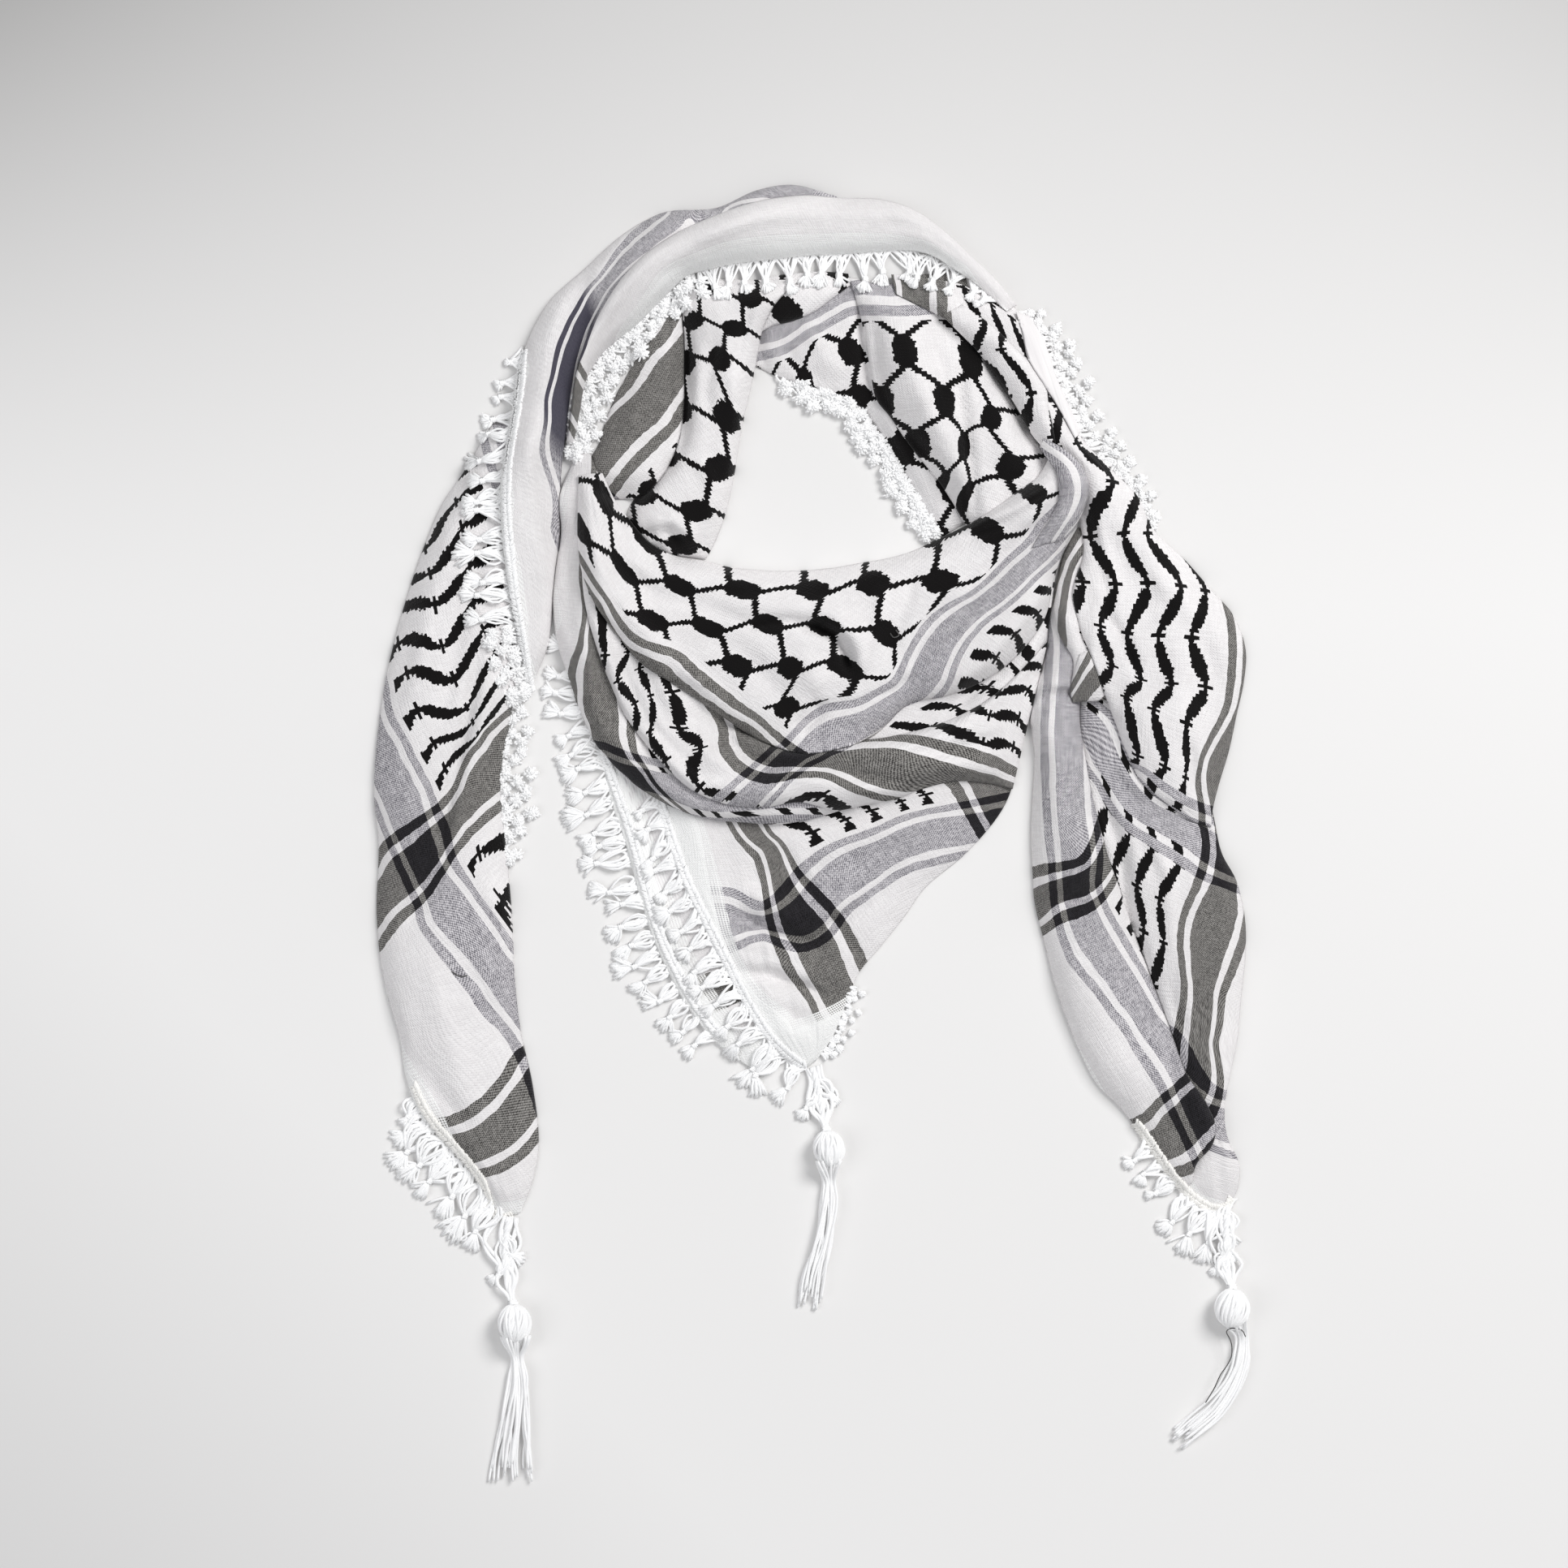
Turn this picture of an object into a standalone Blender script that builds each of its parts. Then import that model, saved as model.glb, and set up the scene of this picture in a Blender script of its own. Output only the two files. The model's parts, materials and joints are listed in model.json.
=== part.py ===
"""A keffiyeh headscarf laid out on a flat surface as it is worn, seen from above.

The scarf is one square of cloth folded on the diagonal and wound: a cowl round the neck opening, a bib
point at the front and one tail each side. Each stretch that shows is its own solid, and the layers hidden
inside a fold share that solid. The stretches are laid one on another from the surface up, with a small gap.
"""

from collections import namedtuple

import bpy
import numpy as np
from mathutils import Vector
from mathutils.bvhtree import BVHTree

MM = 0.001
CENTRE = (0.68, 0.36)
GAP = 0.45
HEM = 1.6
CELL_ALONG = 15.0
CELL_ACROSS = 13.0
TRIM_CELL = 11.0
END_TAPER = 14.0
SMOOTHING = 3
SETTLING = 40
LEAST_WALL = 1.2
INNER_TESTS = 5
EDGE_TESTS = 10
BESIDE = ((0.0, 0.0), (0.5, 0.0), (-0.5, 0.0), (0.0, 0.5), (0.0, -0.5))

# A section runs across a stretch from its left edge to its right edge, and the crown is the height of the
# cloth heaped between them, all in millimetres, with +Y towards the back of the neck.
Section = namedtuple("Section", "left_x left_y right_x right_y crown")

# Runs of knotted fringe: left edge is where the strings leave the hem, right edge is how far they reach.
FRINGE = {
    "fringe_neck": [
        Section(-16.5, 265, -12, 249, 4), Section(1, 259, -3, 241.5, 5),
        Section(15, 253.5, 17.5, 238.5, 5), Section(27, 244, 24, 230.5, 5),
        Section(40.5, 228, 29.5, 218.5, 5), Section(51, 211, 40.5, 202.5, 5),
        Section(60, 195.5, 49.5, 187.5, 5), Section(68, 181.5, 59, 175, 5),
        Section(75, 172.5, 65.5, 166.5, 4),
    ],
    "fringe_under": [
        Section(-128, 110, -151, 107.5, 4), Section(-128.5, 82, -154.5, 84.5, 4),
        Section(-125, 59, -146.5, 52, 4), Section(-117.5, 39, -143.5, 29, 5),
        Section(-111, 20.5, -139.5, 6, 5), Section(-103, -3, -132.5, -12.5, 5),
        Section(-95, -34, -122, -39, 5), Section(-87, -58.5, -115, -66, 5),
        Section(-78.5, -77, -104.5, -93, 5), Section(-68.5, -95.5, -91.5, -111.5, 5),
        Section(-52.5, -117.5, -69.5, -128.5, 4),
    ],
    "fringe_bib": [
        Section(-89, 24.5, -105.5, 19.5, 4), Section(-81.5, -1, -98.5, -10.5, 5),
        Section(-72, -26.5, -91.5, -38, 5), Section(-61.5, -48.5, -82.5, -63.5, 5),
        Section(-50, -71.5, -72, -85.5, 5), Section(-38.5, -94.5, -60, -108.5, 5),
        Section(-27, -113, -49, -131.5, 5), Section(-15.5, -126, -34, -155, 5),
        Section(-3.5, -135.5, -14, -159.5, 4),
    ],
    "fringe_corner": [
        Section(23, -87, 31.5, -90, 3), Section(19.5, -98.5, 28.5, -103, 4),
        Section(14, -113, 24, -118, 4), Section(6.5, -127, 16.5, -131.5, 3),
    ],
    "fringe_low_left": [
        Section(-180.5, 86, -160, 82, 4), Section(-181.5, 59, -156.5, 56.5, 4),
        Section(-182.5, 31.5, -158.5, 29, 4), Section(-181.5, 3.5, -159.5, 1, 4),
        Section(-178.5, -16, -168.5, -20.5, 3),
    ],
    "fringe_tail_left": [
        Section(-228, -144.5, -236, -157.5, 4), Section(-223, -156, -238, -172.5, 5),
        Section(-216, -167, -236, -191, 5), Section(-205.5, -179, -225, -205, 5),
        Section(-194.5, -192, -212, -220.5, 5), Section(-186, -205, -200, -237.5, 5),
        Section(-182.5, -216, -188, -235.5, 4),
    ],
    "fringe_roll": [
        Section(-166, 276.5, -174, 275.5, 4), Section(-167.5, 253.5, -181.5, 252.5, 5),
        Section(-170.5, 230.5, -191.5, 226.5, 5), Section(-173, 212, -196.5, 207, 5),
        Section(-174, 184, -200, 179.5, 5), Section(-172, 156.5, -202, 154, 5),
        Section(-169.5, 133, -200, 128.5, 5), Section(-166, 110, -189, 107.5, 5),
        Section(-163, 89, -182, 86, 4), Section(-161, 80, -171.5, 68.5, 3),
    ],
    "fringe_tail_right": [
        Section(194.5, -169, 184.5, -181.5, 4), Section(203, -178, 179.5, -194.5, 5),
        Section(210, -187.5, 190, -205, 5), Section(217.5, -196.5, 195.5, -221, 5),
        Section(225, -206.5, 201, -232.5, 5), Section(231.5, -215, 215, -243, 5),
        Section(238, -216, 234.5, -242, 4), Section(242.5, -208.5, 248, -228, 3),
    ],
    "fringe_shoulder": [
        Section(119.5, 299, 132.5, 298, 4), Section(128.5, 286, 145.5, 288.5, 5),
        Section(135, 269.5, 155.5, 272, 5), Section(142, 251, 164, 250.5, 5),
        Section(153, 230.5, 172, 231.5, 5), Section(165.5, 216.5, 182.5, 218.5, 5),
        Section(178.5, 202.5, 193.5, 205.5, 5), Section(188, 189.5, 203, 187.5, 5),
        Section(195.5, 175.5, 204.5, 172.5, 3),
    ],
    "fringe_back": [
        Section(-138, 216.5, -127, 210, 4), Section(-137, 235, -120.5, 226.5, 5),
        Section(-132.5, 254.5, -113, 246, 6), Section(-125, 270, -102, 261, 6),
        Section(-112.5, 284.5, -90.5, 275, 6), Section(-98.5, 297, -80.5, 287, 6),
        Section(-84.5, 310, -72, 296, 5), Section(-68.5, 321, -65.5, 302.5, 5),
        Section(-45.5, 326.5, -42.5, 305.5, 5), Section(-17.5, 329.5, -16.5, 308, 5),
        Section(10, 331.5, 9.5, 309, 5), Section(38, 333, 38, 311, 5),
        Section(61, 332, 59.5, 313, 5), Section(78.5, 325, 72, 310, 5),
        Section(93.5, 315.5, 86, 304.5, 5), Section(108.5, 303.5, 99, 296, 4),
    ],
}

# Stretches of cloth.
CLOTH = {
    "neck_back": [
        Section(-34, 300, -38.5, 272, 5), Section(-17.5, 316, -22, 263, 6),
        Section(5.5, 318.5, -3.5, 257, 7), Section(28.5, 317.5, 14, 252, 7),
        Section(47, 304.5, 28, 245, 7), Section(62, 281.5, 40.5, 229.5, 7),
        Section(75, 253.5, 51, 212.5, 7), Section(86.5, 225.5, 60, 197, 6),
        Section(97, 202.5, 68.5, 181.5, 6), Section(103.5, 186.5, 76, 170, 5),
    ],
    "bib_under": [
        Section(-119.5, 47.5, -68.5, 47.5, 4), Section(-114, 19.5, -61.5, 19.5, 4),
        Section(-106, -4, -52.5, -4, 4), Section(-97.5, -35, -43, -33.5, 4),
        Section(-90, -59.5, -34, -56.5, 4), Section(-81.5, -78.5, -24.5, -75, 4),
        Section(-71, -97.5, -15.5, -91.5, 4), Section(-54.5, -119, -6, -105.5, 4),
        Section(-34, -134.5, 1, -117, 3),
    ],
    "bib": [
        Section(-95.5, 47.5, 122, 59, 8), Section(-91.5, 31.5, 118.5, 36, 9),
        Section(-85, 10.5, 110, 13.5, 10), Section(-78.5, -11, 89, -11.5, 9),
        Section(-71, -31.5, 65.5, -31.5, 8), Section(-62.5, -47.5, 49, -47.5, 8),
        Section(-53, -67, 36, -65, 7), Section(-42, -87.5, 28.5, -79, 6),
        Section(-31.5, -107.5, 23, -91.5, 5), Section(-21.5, -120.5, 18, -104, 5),
        Section(-11, -130, 12, -118, 4), Section(-3, -134.5, 3.5, -130, 3),
    ],
    "left_tail": [
        Section(-181.5, 235, -145.5, 235, 14), Section(-199, 206, -151, 208, 16),
        Section(-209.5, 190.5, -156.5, 187.5, 17), Section(-219.5, 168, -161, 161, 18),
        Section(-230, 138, -163.5, 133, 18), Section(-241, 97, -166, 98.5, 18),
        Section(-247, 60.5, -172, 62.5, 18), Section(-249.5, 24, -177, 29.5, 17),
        Section(-247, -7, -174, -6, 16), Section(-248, -47.5, -170.5, -47.5, 15),
        Section(-243, -88.5, -168.5, -88.5, 14), Section(-235.5, -114.5, -165.5, -113, 13),
        Section(-231, -140, -159, -142.5, 12), Section(-223, -159.5, -155.5, -169, 11),
        Section(-209.5, -176, -155.5, -184, 10), Section(-196, -191, -158, -196.5, 9),
        Section(-185, -207, -162, -208.5, 7), Section(-178, -219, -166, -217.5, 5),
    ],
    "left_roll": [
        Section(15, 365, 17.5, 362, 3), Section(-9.5, 371.5, -3.5, 354.5, 9),
        Section(-30, 368.5, -23, 347, 12), Section(-53, 358.5, -43, 337, 15),
        Section(-84.5, 355.5, -68.5, 328.5, 18), Section(-106, 344, -86, 314.5, 20),
        Section(-128.5, 324, -102, 299, 21), Section(-149.5, 304.5, -114, 285, 21),
        Section(-160, 286, -120.5, 272, 21), Section(-166, 269, -126, 258, 20),
        Section(-169.5, 249, -132.5, 242, 19), Section(-172, 225.5, -139.5, 225.5, 18),
        Section(-175.5, 207, -142, 209.5, 17), Section(-176, 179.5, -142.5, 179.5, 16),
        Section(-173.5, 151.5, -144, 151.5, 15), Section(-170, 128.5, -147, 128.5, 13),
        Section(-166, 107.5, -150, 107.5, 10), Section(-162.5, 87.5, -158.5, 86, 5),
    ],
    "tail_panel": [
        Section(153.5, 82, 223, 82, 6), Section(154.5, 56.5, 225, 56.5, 7),
        Section(155.5, 31.5, 228, 29, 8), Section(158.5, 10.5, 232, 6, 10),
        Section(164, -10.5, 236, -11.5, 12), Section(170.5, -29, 244, -26.5, 13),
        Section(178.5, -50, 249, -47.5, 13), Section(187, -73, 249.5, -70.5, 13),
        Section(195.5, -96, 247, -94, 12), Section(203.5, -119, 245, -117, 11),
        Section(210, -140, 241, -137.5, 10), Section(215, -158.5, 237.5, -156.5, 9),
        Section(220.5, -175, 239, -173.5, 8), Section(225.5, -191, 245.5, -190, 7),
        Section(230, -205, 242.5, -202.5, 5), Section(234, -215, 238.5, -213, 4),
    ],
    "tail_blue": [
        Section(136, 135.5, 159.5, 135.5, 8), Section(135.5, 117, 160, 117, 10),
        Section(134.5, 101, 158.5, 101, 12), Section(128.5, 83, 155.5, 82, 13),
        Section(126, 66, 154.5, 66, 14), Section(128.5, 45, 157.5, 45, 14),
        Section(127.5, 22, 161, 24.5, 14), Section(126.5, -1, 166, 3.5, 15),
        Section(127.5, -21.5, 171.5, -16, 16), Section(128.5, -38, 178, -33.5, 15),
        Section(133.5, -59.5, 185, -54.5, 14), Section(139, -82, 192.5, -75, 14),
        Section(146, -104, 200, -96, 13), Section(154.5, -125, 207.5, -116, 12),
        Section(164, -143, 215, -136.5, 11), Section(178, -157.5, 227, -155, 10),
        Section(191.5, -169, 231.5, -169, 9), Section(203, -183.5, 228.5, -182.5, 7),
        Section(211.5, -194.5, 225, -194, 5),
    ],
    "tail_flap": [
        Section(153.5, 175.5, 164, 172.5, 4), Section(145.5, 161, 168.5, 156.5, 6),
        Section(141, 144.5, 173, 137.5, 7), Section(139, 128.5, 175, 121.5, 7),
        Section(142.5, 112.5, 177, 105.5, 7), Section(150, 98.5, 178.5, 89, 6),
        Section(150, 83, 173, 76.5, 5), Section(151, 72, 163, 67.5, 3),
    ],
    "neck_left": [
        Section(-75, 318.5, -6, 316, 8), Section(-74, 303.5, -18.5, 303.5, 12),
        Section(-72.5, 288, -26.5, 289.5, 14), Section(-72, 269.5, -29.5, 275.5, 15),
        Section(-72.5, 251, -33, 258, 15), Section(-74, 232.5, -37.5, 238.5, 14),
        Section(-79.5, 215.5, -40.5, 222, 14), Section(-89, 202.5, -43, 206.5, 13),
        Section(-100, 192.5, -46, 191.5, 13), Section(-104.5, 180.5, -50, 177.5, 12),
        Section(-98, 169, -54.5, 166.5, 10), Section(-86, 160, -59.5, 157, 8),
    ],
    "neck_panel": [
        Section(-80.5, 300, -74, 303.5, 3), Section(-87, 289.5, -73, 291.5, 6),
        Section(-96.5, 279, -72, 277.5, 8), Section(-103.5, 265, -72, 262, 9),
        Section(-111, 251, -72, 248, 9), Section(-117, 236.5, -73, 235, 9),
        Section(-121.5, 222, -76, 222, 9), Section(-127, 212, -80.5, 211, 10),
        Section(-128, 203.5, -86, 202.5, 9), Section(-120.5, 196, -93.5, 195, 6),
        Section(-112, 191.5, -101, 191.5, 3),
    ],
    "neck_right": [
        Section(23, 316, 82.5, 313, 10), Section(28.5, 297.5, 89, 294, 13),
        Section(31.5, 281.5, 96.5, 281.5, 15), Section(34.5, 265, 104.5, 268.5, 17),
        Section(38, 248, 114, 253.5, 18), Section(46, 238, 122, 240.5, 18),
        Section(53.5, 226.5, 129.5, 228, 18), Section(63, 214, 138, 216.5, 17),
        Section(74, 200.5, 142.5, 202.5, 16), Section(82.5, 187.5, 141.5, 191, 14),
        Section(89, 177, 135, 179.5, 12), Section(96.5, 168.5, 127, 168.5, 8),
    ],
    "shoulder_tail": [
        Section(53, 319, 96, 323, 4), Section(66.5, 302.5, 115, 303.5, 9),
        Section(83.5, 289.5, 126, 291.5, 13), Section(96.5, 276.5, 133.5, 279.5, 15),
        Section(109.5, 256.5, 139, 262, 16), Section(119.5, 240.5, 145.5, 244, 16),
        Section(130.5, 223.5, 156.5, 225.5, 16), Section(141, 207, 172, 209, 16),
        Section(150, 189.5, 188, 192.5, 15), Section(155.5, 172.5, 197, 174, 14),
        Section(155.5, 156.5, 216, 155.5, 13), Section(150, 139.5, 229.5, 140, 13),
        Section(153, 120, 242.5, 125, 13), Section(159.5, 102.5, 249.5, 105.5, 13),
        Section(166.5, 84, 248.5, 87, 12), Section(174, 64.5, 244.5, 68.5, 12),
        Section(180.5, 47, 240, 47.5, 11), Section(191, 27.5, 234, 27.5, 9),
        Section(204.5, 16.5, 230.5, 13.5, 7), Section(216.5, 8, 229.5, 3.5, 4),
    ],
    "cowl_lip": [
        Section(-142.5, 215.5, -118.5, 215.5, 7), Section(-143, 193.5, -116, 194, 9),
        Section(-142.5, 172.5, -115, 172.5, 11), Section(-145.5, 149.5, -114, 149.5, 13),
        Section(-147, 131, -111, 131, 14), Section(-145, 110, -106.5, 112.5, 14),
        Section(-138.5, 90.5, -100, 94, 14), Section(-132.5, 72, -93.5, 76.5, 13),
        Section(-123, 52, -86, 61.5, 13), Section(-111, 38, -77, 50, 12),
        Section(-96.5, 25.5, -65.5, 39.5, 12), Section(-78, 15, -53.5, 33.5, 11),
        Section(-58.5, 8.5, -38.5, 31.5, 10), Section(-38.5, 6.5, -23, 31.5, 9),
        Section(-16.5, 5.5, -6, 30.5, 8), Section(3, 9, 10, 29, 6),
        Section(23, 15, 24, 29, 4),
    ],
    "cowl_under": [
        Section(119, 151.5, 141, 151.5, 6), Section(108.5, 135.5, 137, 121.5, 8),
        Section(93.5, 117, 133, 100, 9), Section(79.5, 103, 117.5, 82, 9),
        Section(61, 91.5, 100.5, 68.5, 9), Section(40.5, 82, 75, 56.5, 8),
        Section(19.5, 73, 46.5, 47.5, 7), Section(3, 63.5, 22, 43, 5),
    ],
    "cowl_mid": [
        Section(-130.5, 156.5, -114, 156.5, 5), Section(-128.5, 133, -106.5, 137, 8),
        Section(-122, 107.5, -95.5, 119, 11), Section(-114, 86, -82.5, 105.5, 12),
        Section(-105.5, 67.5, -69.5, 94, 13), Section(-95.5, 53.5, -56.5, 83, 13),
        Section(-83.5, 39.5, -44.5, 75, 13), Section(-69.5, 26.5, -31.5, 68.5, 13),
        Section(-50, 17.5, -16.5, 61.5, 13), Section(-27, 15, 1, 56.5, 13),
        Section(-6, 18, 17.5, 54.5, 13), Section(15, 13.5, 34.5, 54, 14),
        Section(32.5, 16.5, 50, 56.5, 15), Section(49.5, 20, 68, 61, 15),
        Section(65.5, 26, 85, 67.5, 14), Section(83.5, 30, 101, 76.5, 13),
        Section(101, 29, 116.5, 89.5, 12), Section(116, 25.5, 136, 110, 8),
    ],
    "back_roll": [
        Section(-139.5, 223.5, -135.5, 221.5, 4), Section(-136.5, 243, -131.5, 241, 7),
        Section(-133.5, 262, -127.5, 259.5, 10), Section(-128.5, 280.5, -118, 275, 13),
        Section(-117.5, 301.5, -98, 292, 16), Section(-106.5, 316.5, -82.5, 307.5, 18),
        Section(-94, 329.5, -70.5, 318.5, 18), Section(-77, 341.5, -56.5, 323, 18),
        Section(-53.5, 352.5, -40, 326.5, 18), Section(-29, 361, -21.5, 328.5, 17),
        Section(-6, 364.5, -3, 330.5, 16), Section(17, 364, 18.5, 331.5, 16),
        Section(41.5, 363, 40.5, 333, 15), Section(61, 356.5, 58.5, 333.5, 14),
        Section(77, 345, 70.5, 330.5, 12), Section(91.5, 331.5, 83.5, 322, 10),
        Section(106.5, 317, 98, 311, 8), Section(118.5, 302.5, 112, 298, 5),
    ],
    "cowl_front": [
        Section(-118.5, 206, -132, 205, 8), Section(-111.5, 191, -132.5, 186.5, 12),
        Section(-103, 179.5, -132.5, 168, 15), Section(-91.5, 166.5, -130, 149.5, 17),
        Section(-78, 159.5, -123, 132, 18), Section(-61, 156.5, -111.5, 115.5, 19),
        Section(-47.5, 153, -95.5, 96.5, 20), Section(-36, 151.5, -75.5, 84, 20),
        Section(-23, 150.5, -52.5, 68.5, 20), Section(-10.5, 150.5, -27, 52.5, 20),
        Section(1, 151, -6, 46, 20), Section(15, 152.5, 15, 48, 20),
        Section(28.5, 155, 37, 56.5, 20), Section(43.5, 157.5, 56.5, 74, 20),
        Section(59, 162, 79.5, 79, 20), Section(72.5, 168.5, 103, 89.5, 20),
        Section(86.5, 175, 122, 105.5, 19), Section(98, 181, 134.5, 124, 18),
        Section(108.5, 188, 140, 147, 17), Section(119, 196, 148, 168, 16),
        Section(128.5, 202.5, 156, 184, 14), Section(134.5, 211, 157.5, 200, 10),
        Section(138, 218.5, 151, 213.5, 5),
    ],
}

# Corner tassels, each with its cords, its bound ball and its loose skirt.
TASSELS = {
    "tassel_left": [
        Section(-178, -218.5, -166.5, -220, 4), Section(-182.5, -239.5, -166.5, -240, 5),
        Section(-178.5, -256.5, -167.5, -255, 5), Section(-173.5, -267.5, -167, -266, 6),
        Section(-177.5, -272.5, -161.5, -270.5, 15), Section(-178.5, -283.5, -158.5, -282, 19),
        Section(-175, -292.5, -161, -291.5, 14), Section(-171.5, -297.5, -164, -297, 7),
        Section(-172, -311, -161.5, -311.5, 7), Section(-176.5, -334, -160.5, -335, 7),
        Section(-182.5, -357, -158.5, -358.5, 6), Section(-184.5, -370.5, -156.5, -370.5, 4),
    ],
    "tassel_bib": [
        Section(-2.5, -135, 5.5, -132.5, 4), Section(0, -150.5, 11, -148, 5),
        Section(4, -162, 11, -160.5, 5), Section(6, -169, 11.5, -168, 6),
        Section(2.5, -174, 17, -172, 15), Section(2, -184.5, 20.5, -183, 19),
        Section(5.5, -192, 16.5, -192, 13), Section(8, -197, 14.5, -197, 7),
        Section(6.5, -209, 15, -210, 7), Section(3, -231.5, 13, -233.5, 7),
        Section(-3.5, -252, 8, -255, 6), Section(-8, -270.5, 6, -273, 4),
    ],
    "tassel_right": [
        Section(234.5, -217.5, 242, -218, 4), Section(232, -233, 244, -232.5, 5),
        Section(233.5, -247, 244.5, -246, 5), Section(237, -259, 244.5, -258, 6),
        Section(233, -264.5, 249.5, -264, 15), Section(232, -274.5, 250.5, -272, 19),
        Section(238, -283, 249, -278.5, 13), Section(243, -286.5, 249.5, -285.5, 7),
        Section(241, -299, 251, -300.5, 7), Section(235.5, -310.5, 247, -316.5, 7),
        Section(226.5, -323, 236.5, -332, 7), Section(215, -333, 224, -343.5, 6),
        Section(204.5, -342.5, 213, -352.5, 4),
    ],
}

# From the surface up: a stretch rests on those before it wherever they cross.
ORDER = [
    "fringe_neck", "neck_back", "fringe_under", "bib_under", "fringe_bib",
    "fringe_corner", "bib", "fringe_low_left", "fringe_tail_left", "left_tail",
    "fringe_roll", "left_roll", "fringe_tail_right", "tail_panel", "tail_blue",
    "tail_flap", "neck_left", "neck_panel", "neck_right", "fringe_shoulder",
    "shoulder_tail", "cowl_lip", "cowl_under", "cowl_mid", "fringe_back",
    "back_roll", "cowl_front", "tassel_left", "tassel_bib", "tassel_right",
]

CLOTH_WHITE = (0.80, 0.80, 0.83)
THREAD_WHITE = (0.86, 0.86, 0.85)

def section_curves(sections, count):
    """The edges and the crown along a stretch, smooth through its sections, at evenly spaced places."""
    table = np.array(sections, float)
    middle = (table[:, 0:2] + table[:, 2:4]) / 2
    steps = np.linalg.norm(np.diff(middle, axis=0), axis=1)
    at = np.concatenate([[0.0], np.cumsum(np.maximum(steps, 1.0))])
    slopes = np.gradient(table, at, axis=0)
    place = np.linspace(0.0, at[-1], count)
    k = np.clip(np.searchsorted(at, place, side="right") - 1, 0, len(at) - 2)
    span = (at[k + 1] - at[k])[:, None]
    t = ((place - at[k]) / span[:, 0])[:, None]
    start, end = table[k], table[k + 1]
    curve = (2 * t**3 - 3 * t**2 + 1) * start + (t**3 - 2 * t**2 + t) * span * slopes[k]
    curve += (3 * t**2 - 2 * t**3) * end + (t**3 - t**2) * span * slopes[k + 1]
    return curve, at[-1], place


def plan_grid(sections, cell_along, cell_across):
    """Plan points of a stretch as a grid, its rounded height above what it lies on, and its triangles."""
    table = np.array(sections, float)
    length = np.linalg.norm(np.diff((table[:, 0:2] + table[:, 2:4]) / 2, axis=0), axis=1).sum()
    width = np.linalg.norm(table[:, 2:4] - table[:, 0:2], axis=1).max()
    rows = max(4, round(length / cell_along))
    columns = max(3, round(width / cell_across))
    curve, length, place = section_curves(sections, rows + 1)
    across = 0.5 - 0.5 * np.cos(np.pi * np.linspace(0, 1, columns + 1))
    across = 0.35 * np.linspace(0, 1, columns + 1) + 0.65 * across
    left, right, crown = curve[:, None, 0:2], curve[:, None, 2:4], curve[:, 4]
    points = left + (right - left) * across[None, :, None]
    profile = (1 - np.abs(2 * across - 1) ** 2.6) ** 0.75
    from_end = np.minimum(place, length - place)
    taper = np.sqrt(np.clip(from_end / END_TAPER, 0, 1))
    height = (crown * taper)[:, None] * profile[None, :]
    index = np.arange((rows + 1) * (columns + 1)).reshape(rows + 1, columns + 1)
    a, b, c, d = index[:-1, :-1], index[:-1, 1:], index[1:, 1:], index[1:, :-1]
    triangles = np.concatenate([np.stack([a, b, c], -1), np.stack([a, c, d], -1)], axis=2).reshape(-1, 3)
    rim = np.concatenate([index[0, :-1], index[:-1, -1], index[-1, :0:-1], index[:0:-1, 0]])
    return points.reshape(-1, 2), height.ravel(), triangles, index, rim


def signed_areas(points, triangles):
    """Area of each triangle in plan, negative where its corners run clockwise."""
    a, b, c = points[triangles[:, 0]], points[triangles[:, 1]], points[triangles[:, 2]]
    return ((b - a)[:, 0] * (c - a)[:, 1] - (b - a)[:, 1] * (c - a)[:, 0]) / 2


def height_below(tree, x, y):
    """Top of what has been laid already at a place in plan, or none where the surface is bare."""
    if tree is None:
        return None
    hit = tree.ray_cast(Vector((x, y, 500.0)), Vector((0.0, 0.0, -1.0)))
    return hit[0].z if hit[0] is not None else None


def resting_places(points, triangles, rim, tree, laid):
    """Where something laid before holds a stretch up: corners round each place, their shares, the height."""
    corners, shares, heights = [], [], []
    at_rim = np.isin(triangles, rim).any(axis=1)
    for tri, edge in zip(triangles, at_rim):
        order, beside = (EDGE_TESTS, BESIDE) if edge else (INNER_TESTS, BESIDE[:1])
        for i in range(order + 1):
            for j in range(order + 1 - i):
                share = np.array([i, j, order - i - j]) / order
                x, y = share @ points[tri]
                found = [height_below(tree, x + dx, y + dy) for dx, dy in beside]
                found = [z for z in found if z is not None]
                if found:
                    corners.append(tri)
                    shares.append(share)
                    heights.append(max(found) + GAP)
    flat = [Vector((x, y, 0.0)) for x, y in points]
    plan = BVHTree.FromPolygons(flat, [tuple(int(v) for v in tri) for tri in triangles])
    low, high = points.min(axis=0), points.max(axis=0)
    for x, y, z in laid:
        if not (low[0] <= x <= high[0] and low[1] <= y <= high[1]):
            continue
        hit = plan.ray_cast(Vector((x, y, 1.0)), Vector((0.0, 0.0, -1.0)))
        if hit[0] is None:
            continue
        tri = triangles[hit[2]]
        edges = np.column_stack([points[tri[1]] - points[tri[0]], points[tri[2]] - points[tri[0]]])
        second, third = np.linalg.solve(edges, np.array([x, y]) - points[tri[0]])
        corners.append(tri)
        shares.append(np.array([1 - second - third, second, third]))
        heights.append(z + GAP)
    return corners, shares, heights


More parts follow.
